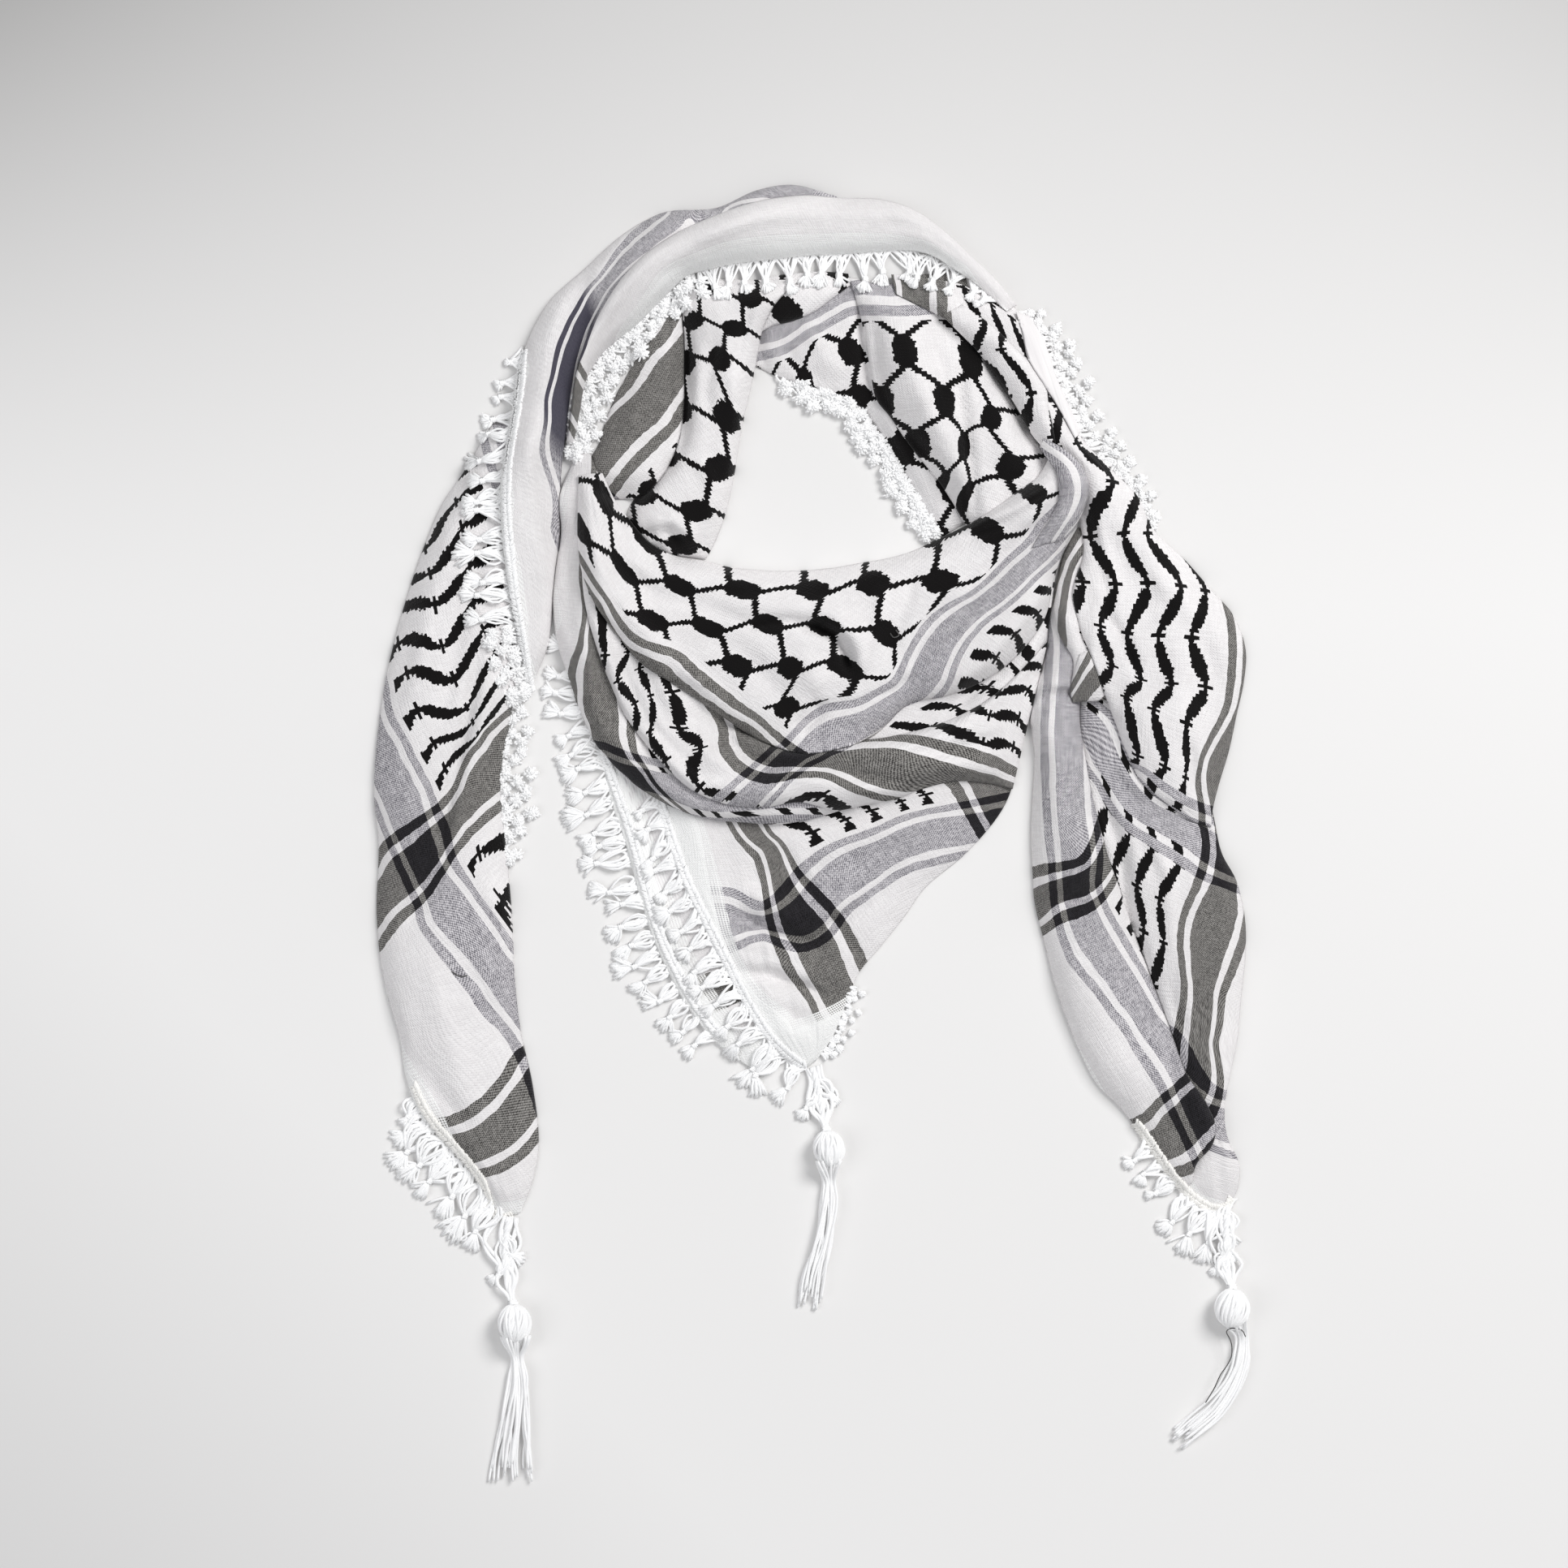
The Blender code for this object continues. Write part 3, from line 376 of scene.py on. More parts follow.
# %% Cross sections of the fringe
FRINGE = {
    "fringe_neck": [
        (-16.5, 265, -12, 249, 4), (1, 259, -3, 241.5, 5), (15, 253.5, 17.5, 238.5, 5),
        (27, 244, 24, 230.5, 5), (40.5, 228, 29.5, 218.5, 5), (51, 211, 40.5, 202.5, 5),
        (60, 195.5, 49.5, 187.5, 5), (68, 181.5, 59, 175, 5), (75, 172.5, 65.5, 166.5, 4),
    ],
    "fringe_under": [
        (-128, 110, -151, 107.5, 4), (-128.5, 82, -154.5, 84.5, 4), (-125, 59, -146.5, 52, 4),
        (-117.5, 39, -143.5, 29, 5), (-111, 20.5, -139.5, 6, 5), (-103, -3, -132.5, -12.5, 5),
        (-95, -34, -122, -39, 5), (-87, -58.5, -115, -66, 5), (-78.5, -77, -104.5, -93, 5),
        (-68.5, -95.5, -91.5, -111.5, 5), (-52.5, -117.5, -69.5, -128.5, 4),
    ],
    "fringe_bib": [
        (-89, 24.5, -105.5, 19.5, 4), (-81.5, -1, -98.5, -10.5, 5), (-72, -26.5, -91.5, -38, 5),
        (-61.5, -48.5, -82.5, -63.5, 5), (-50, -71.5, -72, -85.5, 5), (-38.5, -94.5, -60, -108.5, 5),
        (-27, -113, -49, -131.5, 5), (-15.5, -126, -34, -155, 5), (-3.5, -135.5, -14, -159.5, 4),
    ],
    "fringe_corner": [
        (23, -87, 31.5, -90, 3), (19.5, -98.5, 28.5, -103, 4), (14, -113, 24, -118, 4),
        (6.5, -127, 16.5, -131.5, 3),
    ],
    "fringe_low_left": [
        (-180.5, 86, -160, 82, 4), (-181.5, 59, -156.5, 56.5, 4), (-182.5, 31.5, -158.5, 29, 4),
        (-181.5, 3.5, -159.5, 1, 4), (-178.5, -16, -168.5, -20.5, 3),
    ],
    "fringe_tail_left": [
        (-228, -144.5, -236, -157.5, 4), (-223, -156, -238, -172.5, 5), (-216, -167, -236, -191, 5),
        (-205.5, -179, -225, -205, 5), (-194.5, -192, -212, -220.5, 5), (-186, -205, -200, -237.5, 5),
        (-182.5, -216, -188, -235.5, 4),
    ],
    "fringe_roll": [
        (-166, 276.5, -174, 275.5, 4), (-167.5, 253.5, -181.5, 252.5, 5), (-170.5, 230.5, -191.5, 226.5, 5),
        (-173, 212, -196.5, 207, 5), (-174, 184, -200, 179.5, 5), (-172, 156.5, -202, 154, 5),
        (-169.5, 133, -200, 128.5, 5), (-166, 110, -189, 107.5, 5), (-163, 89, -182, 86, 4),
        (-161, 80, -171.5, 68.5, 3),
    ],
    "fringe_tail_right": [
        (192, -172, 184.5, -181.5, 4), (197.5, -183, 179.5, -194.5, 5), (204, -193.5, 190, -205, 5),
        (212, -202.5, 195.5, -221, 5), (221, -210.5, 201, -232.5, 5), (229, -216, 215, -243, 5),
        (236.5, -218.5, 234.5, -242, 4), (243, -210, 248, -228, 3),
    ],
    "fringe_shoulder": [
        (119.5, 299, 132.5, 298, 4), (128.5, 286, 145.5, 288.5, 5), (135, 269.5, 155.5, 272, 5),
        (142, 251, 164, 250.5, 5), (153, 230.5, 172, 231.5, 5), (165.5, 216.5, 182.5, 218.5, 5),
        (178.5, 202.5, 189.5, 204.5, 5), (188, 189.5, 197, 188.5, 5), (195.5, 175.5, 200.5, 174, 3),
    ],
    "fringe_back": [
        (-138, 216.5, -127, 210, 4), (-137, 235, -120.5, 226.5, 5), (-132.5, 254.5, -113, 246, 6),
        (-125, 270, -102, 261, 6), (-112.5, 284.5, -90.5, 275, 6), (-98.5, 297, -80.5, 287, 6),
        (-84.5, 310, -72, 296, 5), (-68.5, 321, -65.5, 302.5, 5), (-45.5, 326.5, -42.5, 305.5, 5),
        (-17.5, 329.5, -16.5, 308, 5), (10, 331.5, 9.5, 309, 5), (38, 333, 38, 311, 5),
        (61, 332, 59.5, 313, 5), (78.5, 325, 72, 310, 5), (93.5, 315.5, 86, 304.5, 5),
        (108.5, 303.5, 99, 296, 4),
    ],
}
TASSELS = {
    "tassel_left": [
        (-178, -218.5, -166.5, -220, 4), (-182.5, -239.5, -166.5, -240, 5),
        (-178.5, -256.5, -167.5, -255, 5), (-173.5, -267.5, -167, -266, 6),
        (-177.5, -272.5, -161.5, -270.5, 15), (-178.5, -283.5, -158.5, -282, 19),
        (-175, -292.5, -161, -291.5, 14), (-171.5, -297.5, -164, -297, 7), (-172, -311, -161.5, -311.5, 7),
        (-176.5, -334, -160.5, -335, 7), (-182.5, -357, -158.5, -358.5, 6),
        (-184.5, -370.5, -156.5, -370.5, 4),
    ],
    "tassel_bib": [
        (-2.5, -135, 5.5, -132.5, 4), (0, -150.5, 11, -148, 5), (4, -162, 11, -160.5, 5),
        (6, -169, 11.5, -168, 6), (2.5, -174, 17, -172, 15), (2, -184.5, 20.5, -183, 19),
        (5.5, -192, 16.5, -192, 13), (8, -197, 14.5, -197, 7), (6.5, -209, 15, -210, 7),
        (3, -231.5, 13, -233.5, 7), (-3.5, -252, 8, -255, 6), (-8, -270.5, 6, -273, 4),
    ],
    "tassel_right": [
        (234.5, -217.5, 242, -218, 4), (232, -233, 244, -232.5, 5), (233.5, -247, 244.5, -246, 5),
        (237, -259, 244.5, -258, 6), (233, -264.5, 249.5, -264, 15), (230.8, -274.7, 251.7, -271.8, 19),
        (238, -283, 249, -278.5, 13), (243, -286.5, 249.5, -285.5, 7), (241, -299, 251, -300.5, 7),
        (235.5, -310.5, 247, -316.5, 7), (226.5, -323, 236.5, -332, 7), (215, -333, 224, -343.5, 6),
        (204.5, -342.5, 213, -352.5, 4),
    ],
}
print(len(FRINGE), "runs of fringe,", len(TASSELS), "tassels")

# %% [markdown]
# ## The order of laying
# Cloth lies on cloth, so the order counts: what is named later lies on what is named before. Six small shells
# show where a stretch turns over on itself, and each belongs to the solid of its stretch.

# %% Order
ORDER = """
fringe_neck neck_back neck_fold fringe_under bib_under fringe_bib fringe_corner bib fringe_low_left
fringe_tail_left left_tail fringe_roll left_roll fringe_tail_right tail_panel tail_blue tail_flap
tail_tuck neck_left neck_panel neck_right fringe_shoulder shoulder_tail neck_stripes shoulder_pleat
shoulder_edge cowl_lip cowl_under cowl_mid fringe_back back_roll cowl_front band_loop tassel_left
tassel_bib tassel_right
""".split()
SMALL_FOLDS = {
    "neck_fold": "neck_back", "tail_tuck": "tail_flap", "neck_stripes": "shoulder_tail",
    "shoulder_pleat": "shoulder_tail", "shoulder_edge": "shoulder_tail", "band_loop": "cowl_front",
}
print(len(ORDER), "pieces in order,", len(SMALL_FOLDS), "of them small folds")

# %% [markdown]
# ## Where the threads run
# The pattern is woven, so it follows the threads. Along one side of the square p counts centimetres from the
# dark-banded hem, and along the other q counts them from the blue-banded hem. For each stretch a few lines
# say where a known p or q lies, and net knots say both. A thin-plate fit gives p and q everywhere between.
# A line is written as p or q and its value, then its points as x,y. A knot is x,y, its column and its row.

# %% Thread lines
THREADS = {
    "cowl_front": """
    p 22.97: -130,156 -118.5,137 -110,123 -102,113 -90.5,106.5 -77.5,103.5 -71.5,99.5 -59.5,87.5 -47.5,78
      -35.5,68.5 -24,59 -14.5,52
    p 22.1: -118.5,131.5 -102,105 -90.5,99.5 -80.5,95.5 -76,89.5 -62,78 -47.5,68.5 -35.5,63.5 -26.5,57.5
    p 20.6: -96.5,94.5 -83,81 -64.5,71
    q 24.87: 131,177 124,165.5 112,155 103.5,146.5 93,137 79,130 68.5,121.5 60,110 54,98 48,85 27,74 7,71.5
      -2.5,64.5
    q 24: 138,177 131,165.5 119,155 107.5,144 95.5,134.5 84,127.5 73,118.5 65,107.5 59,97 53,85
    q 21.55: 146.5,169 137,158 125,147.5 114.5,137 103.5,128.5 93,119 84.5,110 79,99.5 74,87.5
    q 20.7: 147.5,164 133.5,150 120.5,137 107.5,126 97,119 88.5,107.5 82.5,97 79,85
    q 22.8: 47,74 26.5,61.5 10,52
    net: 19.5,96,2,0 44,112.5,4,0 75,143.5,6,0 99.5,174,8,0 128.5,192.5,10,0 -10.5,94,1,1 6.5,118.5,3,1
      35.5,143.5,5,1 -40,96,0,2 -24.5,120,2,2 2.5,138.5,4,2 -59.5,117,1,3 -38.5,139,3,3 -89.5,121.5,0,4
      -74,141.5,2,4 -105.5,149.5,1,5 -94.5,168,3,5 -118,192.5,2,6
    """,
    "neck_left": """
    net: -51,208.5,8,4 -65.5,184,9,3 -72.5,165.5,10,2 -96.5,194,8,2 -123,208.5,7,1 -47,237,7,5
      -53.5,273.5,6,6 -69.5,269,5,5 -43,287.5,5,7
    """,
    "neck_panel": """
    p 18.8: -73,301.5 -77.5,298 -80.5,290 -85,282.5 -94.5,275.5 -99,267.5 -104,258 -109,250.5 -113.5,246
    p 19.65: -75.5,282.5 -83,273.5 -90.5,263.5 -97,254.5 -103,248.5 -111,244 -117,234.5
    p 22.1: -72.5,258 -74.5,252 -80.5,244 -85,237 -94.5,229.5 -101.5,222.5 -109.5,213
    p 22.97: -74.5,242.5 -77,234.5 -83,228.5 -90.5,221 -98,214
    q 40: -91.5,300 -68.5,281.5
    q 36: -105.5,276.5 -68.5,253.5
    q 31: -119.5,249 -78,216.5
    """,
    "neck_back": """
    q 24: -29.5,280.5 -16.5,282.5 -3,292.5 8.5,298 18,303 23.5,305.5 32,304 48.5,304 64,301
    q 24.87: -22.5,274.5 -6,282.5 6,288.5 18,295.5 27.5,300 41.5,299 55.5,298 67.5,298
    net: 22.5,274.5,8,0 -3,255.5,6,0 29.5,251,7,1
    p 32: -27,272
    p 30: -34,281.5
    p 46: 65.5,300
    p 44: 70.5,272
    p 43: 89,225.5
    q 34: 56.5,244
    q 39: 89,198
    q 22: -17.5,293 1,302 19.5,313
    """,
    "neck_right": """
    net: 53,274.5,8,0 92,271,10,0 42,246,7,1 77,246,9,1 103,237,11,1 60,222.5,8,2 115,208.5,12,2
      86,191.5,11,3 84.5,229.5,9.5,1.6 92,228,10.6,1.7 76.5,203.5,8.8,2.8 123.5,240.5,12.1,0.2
      140,218.5,13,1.2 70.5,179.5,9,3.6
    q 24.87: 35.5,298.5 56.5,298 75,300
    """,
    "shoulder_tail": """
    p 8.17: 238,133 241.5,121.5 242,105.5 241,87 239,73 234.5,63.5 228,52 223,43 221,33.5 222,24.5 224,12.5
    p 7.3: 245.5,124 247.5,105.5 245.5,82 239.5,63.5 232.5,52 227,40.5
    p 10.1: 223,139 221.5,112.5 220.5,83.5 218.5,63.5 215,40.5 211.5,24.5
    p 11.85: 195,171 208.5,141.5 202.5,112.5 202,87 199,68.5 199,45 195.5,29
    p 13.6: 184.5,195.5 184.5,181.5 182.5,171.5 188,143.5 184.5,114.5 185,87 182.5,59 184,38
    p 15.35: 152.5,226.5 160.5,215.5 169.5,201.5 163,192.5 164,169.5 170,143.5
    q 26.2: 215,31.5 203.5,37.5 186,43
    q 29.07: 213,63.5 195.5,71.5 179,79
    q 31.94: 228.5,83.5 209.5,85.5 188.5,87
    q 34.8: 213,112.5 194.5,113.5 179,114.5
    q 37.7: 231,138.5 212.5,141.5 194.5,143.5 176,142.5
    q 40.55: 195.5,171.5 177,171.5 161.5,169.5
    q 43.4: 184,198 167.5,201.5
    q 46.3: 156,223.5 167.5,228
    q 49.2: 144.5,245.5 156,249
    q 52: 128.5,267.5 140,272
    q 57.8: 98,304.5
    p 17.1: 140,244 141,230.5 145,219.5
    p 16.5: 135,251
    q 24: 185.5,36 195,24 208,14.5 221.5,8
    """,
    "tail_blue": """
    q 5.92: 134.5,128 137,105.5 134,73 134,36 136.5,-6 138,-19 140,-43 149,-73 160.5,-87 172,-103 186,-124
      195.5,-137.5 204.5,-154
    q 6.75: 142.5,105.5 140,36 142.5,-6 147,-47.5 158.5,-70.5 170,-85.5 184,-104 195.5,-121.5 205.5,-137.5
    q 9.2: 156,59 157,12.5 160.5,-15 164,-43 174.5,-63.5 186,-82 197.5,-103
    q 10.07: 164,-29 168.5,-43 177,-56.5 184.5,-69.5
    p 22.97: 129.5,-21 138,-19 151,-17 157,-14.5 160,-7 164.5,-0.5 165.5,9.5
    p 22.1: 129.5,-31.5 139.5,-27 151,-23 159,-19
    p 19.65: 133,-48.5 139.5,-40 147.5,-37 159.5,-33.5 167.5,-27 172.5,-20
    p 18.8: 134.5,-55 139.5,-50 149.5,-47 161,-42 169.5,-33.5 174,-25
    p 8.17: 187.5,-165 194,-161 204,-149.5 214,-142
    p 7.3: 195,-170 200.5,-161 210.5,-152.5 216,-146
    p 4.85: 204,-186.5 210.5,-184 217,-179 222,-174.5
    p 4.02: 204,-194 214,-192.5 223.5,-187.5 228.5,-179
    p 27: 129.5,26.5 156,24.5
    p 32: 133,77.5 153.5,75
    p 37: 135,126 153.5,126
    q 2: 149,-107.5 172,-147
    p 13: 149,-103 181.5,-84.5
    """,
    "tail_panel": """
    q 24.87: 160.5,76.5 171,69 181.5,46.5 190.5,30.5 200.5,20 215.5,14 222,11.5
    q 21.55: 154.5,54 162,39 172.5,24.5 183,11.5 195,4 212.5,-6.5 218.5,-11
    q 20.72: 156.5,42.5 164,30.5 177.5,7.5 187.5,-0.5 200.5,-8.5 214,-17 223.5,-24
    p 8.17: 221.5,14 225.5,4 227,-8 223.5,-20 219,-33.5 214,-45 211.5,-56.5 212,-70 214,-83 213,-94.5
      210.5,-109.5 209,-119.5
    p 7.3: 232,-6 230.5,-25 223.5,-37 218,-48.5 216,-62 217,-80 219,-94.5 218,-111.5 216,-126 215,-136
    p 4.85: 243.5,-31.5 245.5,-45 240.5,-60 234,-76.5 229.5,-91.5 228.5,-106.5 227.5,-119.5
    p 4.02: 249.5,-50 247,-63 240.5,-80 235,-94.5 234,-109.5 230.5,-119.5
    p 10.1: 204.5,-26.5 200,-50 199,-75
    p 11.85: 189.5,-19.5 189.5,-38 188,-56.5
    p 13.6: 178.5,-6 177,-19.5
    q 17.6: 196,-35.5 218.5,-45 185,-29
    q 14.72: 204.5,-63.5 191.5,-56 223,-66
    q 11.86: 194,-86.5 228,-87
    p 16: 163,45 158.5,59
    p 13: 186,33.5
    p 10.5: 204.5,17.5
    q 10.07: 232.5,-150 238,-149.5
    q 9.2: 232.5,-155
    q 6.75: 234.5,-175
    q 5.92: 237,-182.5
    p 2.5: 246.5,-144.5 244,-181.5
    p 3.3: 228.5,-172.5 231,-195.5 235,-209.5
    q 28: 167.5,91.5 186,77.5
    q 0.4: 239.5,-218
    p 0.9: 213,-196.5 225,-210.5 240,-210.5
    p 3: 245.5,-191 232.5,-188
    """,
    "tail_flap": """
    p 4.85: 146.5,170 141,156.5
    p 7.3: 152,168.5 145,156.5 142.5,146
    p 7.85: 157,166.5 149,156.5 145.5,146
    p 8.5: 159.5,162.5 152,152.5 148,140.5
    p 10.1: 163,141.5 165,131 165,120 159.5,107.5
    p 11.85: 173,138.5 172,127.5 176,119
    p 9.3: 151,121.5 154.5,109
    q 37: 144.5,165.5 158.5,166.5
    q 34.81: 162,142.5 148,144.5
    q 31.94: 165.5,113.5 153,114.5 175,115.5
    q 29.07: 158.5,100 166,84.5
    q 25.2: 158.5,75 166.5,71
    """,
    "left_tail": """
    q 10.07: -243,83 -241.5,71 -235,58.5 -228,44 -221.5,33 -216.5,22 -212.5,12.5 -208,4 -204.5,-13 -194,-28.5
      -184.5,-42.5 -175.5,-56.5 -170,-67
    q 9.2: -246.5,73 -235,50 -228,36 -220.5,22 -208,-21 -197,-34.5 -186,-50 -177,-62.5 -170,-73
    q 6.75: -249,26.5 -244.5,16.5 -240,5.5 -219,-36.5 -215.5,-48.5 -204.5,-61 -194,-73 -186,-84 -177,-97.5
      -167.5,-111.5
    q 5.92: -247.5,16 -243,4 -238.5,-8.5 -223,-41 -221.5,-51.5 -212.5,-63.5 -201.5,-77.5 -191,-90 -181.5,-104
      -172,-113 -167.5,-122 -163,-131.5
    p 22.97: -174,68 -184.5,58.5 -194,46.5 -197,36 -201.5,26.5 -208,19 -216.5,11.5 -230.5,2 -243,-7 -248,-18
    p 22.1: -184.5,46.5 -195.5,34.5 -204.5,12.5 -228,-7 -241.5,-16.5 -247.5,-27
    p 19.65: -177,24 -189.5,14.5 -198.5,5.5 -204.5,-5.5 -209.5,-14.5 -216.5,-25 -228,-34.5 -238.5,-42.5
      -247.5,-55
    p 18.8: -178.5,14.5 -189.5,4 -198.5,-5.5 -206,-13 -214,-25 -223,-39 -234,-48.5 -243,-59 -246,-65.5
    p 8.17: -167,-126 -171,-135.5 -178,-144.5 -184.5,-152 -192,-157.5 -200,-162.5 -206,-164.5
    p 7.3: -160.5,-133 -166,-141.5 -172,-148.5 -180,-158.5 -186,-163.5 -194,-169 -200,-170.5
    p 4.85: -157,-163 -160.5,-168.5 -166,-174 -172,-179 -180,-183 -187.5,-186.5
    p 4.02: -156,-171.5 -158.5,-176.5 -165,-183 -172,-188 -180,-192.5 -187,-194
    p 25.85: -216.5,43 -209.5,52 -199,56.5
    p 27.6: -230.5,60 -212,68.5 -196,74
    p 29.35: -235,84 -221.5,91.5 -203,93.5 -189,107.5
    p 31.1: -239,100.5 -223.5,110 -207.5,111 -197,121.5
    p 32.85: -234.5,126 -221.5,135 -209.5,135.5 -193.5,147
    p 34.6: -228.5,144.5 -219,151.5 -203,161
    p 36.35: -218,169 -207.5,181.5 -196,192.5
    p 38.1: -208.5,192.5 -198,206.5
    q 11.86: -214,52 -222.5,68.5 -229,91.5 -235,107.5
    q 14.72: -196,73 -203.5,90 -209.5,107.5 -213,131 -217,149
    q 17.6: -183,112.5 -191,126 -193.5,151.5 -196,165.5
    q 20: -184.5,198 -175,151.5
    q 1.9: -200,-170.5 -196,-181 -189,-191
    q 0.2: -232,-140 -212,-184 -196,-205
    p 0.3: -184.5,-219.5 -166,-221
    p 13.3: -235,-103 -203,-98.5
    q 3.5: -230.5,-70.5 -216.5,-121.5
    p 14: -166,-80
    q 12: -184.5,-24.5 -175,-38
    q 13: -177.5,-6
    """,
    "bib": """
    p 4.02: -33.5,-10.5 -28,-22 -24.5,-34 -23.5,-45.5 -20.5,-56.5 -17,-65.5 -12.5,-77.5 -5,-88 1,-96.5
      4,-105.5 10.5,-112.5
    p 4.85: -26,-7.5 -22,-22 -21,-34 -18.5,-43 -15,-57.5 -7.5,-67 -2,-79 4,-89.5 9.5,-100 15.5,-106.5
    p 7.3: -19,-6 -15,-17.5 -9.5,-29 -0.5,-41 8,-50 14,-60 19.5,-74 24.5,-86
    p 8.17: -23,-2 -15.5,-7.5 -9.5,-18.5 -2,-28 8,-38.5 17,-50 24.5,-62.5 30,-74
    p 18.8: 83.5,27.5 90.5,13 95.5,4 98,-0.5
    p 19.65: 90.5,29 98.5,13 103,5.5
    q 10.07: 2,-16 10,-9 21,-4.5 37.5,1.5 49,7.5 61,11 72.5,13 84.5,16 94,17.5 108.5,20.5
    q 9.5: -45.5,-37.5 -38.5,-41 -32.5,-45.5 -26.5,-47 -19,-42 -7.5,-31.5
    q 9.2: 2,-24.5 11,-16 23,-9 37.5,-4.5 49,1.5 61,6.5 72.5,9.5 83.5,10
    q 6.75: 14,-43 25.5,-35 37.5,-26.5 49,-17.5 61,-12.5 72.5,-9 84.5,-7.5
    q 6.5: -43,-61 -36,-56.5 -26.5,-54 -19.5,-57.5 -5,-61 11,-51.5
    q 5.92: 18.5,-47 25.5,-39.5 37.5,-31.5 49,-23.5 61,-18.5 72.5,-16 84.5,-12.5
    p 10.1: -3.5,1 2,-6.5 -15.5,10.5
    p 11.85: 22,3 10,12.5
    p 13.6: 36,8 28,15
    p 15.35: 53.5,14.5 47,19
    p 17.1: 64.5,17.5 59,24.5
    q 11.86: -9.5,-2 15,6 28.5,11.5 46.5,16.5
    q 14.72: -22,10.5 1,19.5
    p 0.9: -64,6.5 -59.5,-19.5 -56,-36.5 -50.5,-57.5 -41.5,-77 -28,-94.5 -11.5,-107
    p 2.4: -45.5,-15 -38.5,-33.5 -34,-61.5
    q 2.5: -17.5,-98.5
    q 14: -54.5,-1
    """,
    "cowl_lip": """
    p 4.02: -128,128.5 -130,114.5 -135,99.5 -137,89.5 -134.5,81.5 -128,61.5 -118,43.5 -105.5,31
    p 4.85: -125.5,117 -125,105 -129,87.5 -130,75.5 -129,63.5 -124.5,50.5 -114,40
    p 7.3: -118.5,111 -114,95.5 -111.5,83.5 -109.5,69.5 -109.5,54.5 -103,40.5 -91.5,27.5
    p 8.17: -109.5,89.5 -103,72 -101.5,63.5 -101,52 -94,38
    p 2: -138,124 -142.5,142.5 -140.5,161
    p 0.5: -142.5,198
    q 24.87: -117,49.5 -109.5,45.5 -94,42 -82.5,39
    q 24: -114,44 -98.5,38 -84.5,35
    q 21.55: -91.5,24.5 -78,19.5 -63,13.5
    q 20.72: -78,12.5 -54.5,7
    q 27: -128.5,68.5 -103,68.5
    q 32: -133.5,119 -110,114.5
    q 37: -138,170 -124,170
    p 11: -68.5,19.5
    p 13: -45.5,11.5
    p 6: -73,8
    p 14: -27,12.5
    q 21: -22,10.5
    """,
    "cowl_under": """
    q 20.7: 128.5,151.5 107.5,126 88.5,107.5 79,85 52,74 28.5,63.5
    p 41.6: 130.5,141.5 127,141.5
    p 39.85: 113.5,125 126,128.5
    p 38.1: 96,112.5 112,112.5 121.5,101.5
    p 36.35: 89,99.5 112,97 121.5,89
    p 34.6: 85.5,83 97,79.5
    p 32.85: 69.5,75 82.5,69
    p 31.1: 47.5,64 59.5,59.5
    p 29.35: 34.5,52.5 42.5,53.5
    q 19.9: 124,141.5 111,124 95,111.5 88,99.5 84.5,83 68.5,75 47,64 34.5,52.5
    q 17.6: 130.5,128.5 115.5,114.5 113.5,96 98,81 83.5,74
    """,
    "cowl_mid": """
    p 22.97: 47,55 56,55 68,52.5 79.5,49 91.5,46.5 106,42 116,37.5
    p 22.1: 18.5,47 30,49 47,49 61,45 72.5,42 84.5,38 96.5,34.5 108.5,31.5 116,27.5
    p 19.65: -41,52 -34,43 -20,38 -6.5,38 2,38 11,38 21,34.5 30,30 42,25 55,23.5
    p 18.8: -48.5,59.5 -50.5,52 -45.5,43.5 -34.5,34.5 -24,31.5 -9.5,34 2,34.5 9,33.5 16,30 25.5,25 34.5,22.5
      47,20
    p 22.1: -22,56.5 -6,50 5.5,46.5
    q 24.87: -45.5,25.5 -34.5,36 -24.5,46 -15.5,53.5 -52.5,19.5
    q 24: -40,24.5 -29,34.5 -19,44 -8.5,52
    q 21.55: -29,17.5 -18.5,27.5 -6.5,39 4,45 15,50.5
    q 20.72: -23,18.5 -14,29 -1.5,40 12.5,47.5
    p 17.1: -84.5,80 -77,74 -69.5,62.5 -65.5,52 -68.5,40.5 -58.5,28.5
    p 15.35: -93.5,87 -90.5,73 -90,56.5 -86,43
    p 13.6: -106,104.5 -107.5,91.5 -103,75 -97,62.5
    p 11.85: -117.5,127.5 -119,110
    q 26.2: -58.5,31.5 -68.5,19.5
    q 29.07: -74,47.5 -86,38
    q 31.94: -71,59 -83.5,61.5
    q 37: -98.5,91.5 -110,82
    q 42: -117,121.5 -105.5,110
    p 25.85: 97.5,72.5 111.5,68.5 120,59
    p 27.6: 103,81.5 114.5,84.5 123.5,77.5
    p 24.4: 52,62.5 84.5,60
    q 14.72: 98,47.5 105,75 112,87
    q 11.85: 114.5,45 118,59 122,78.5
    q 17.6: 55.5,52 65.5,63.5
    q 11.2: 119,29
    p 17.8: 84.5,19.5 112,19.5
    p 17.7: 1,24.5 -22,19.5
    """,
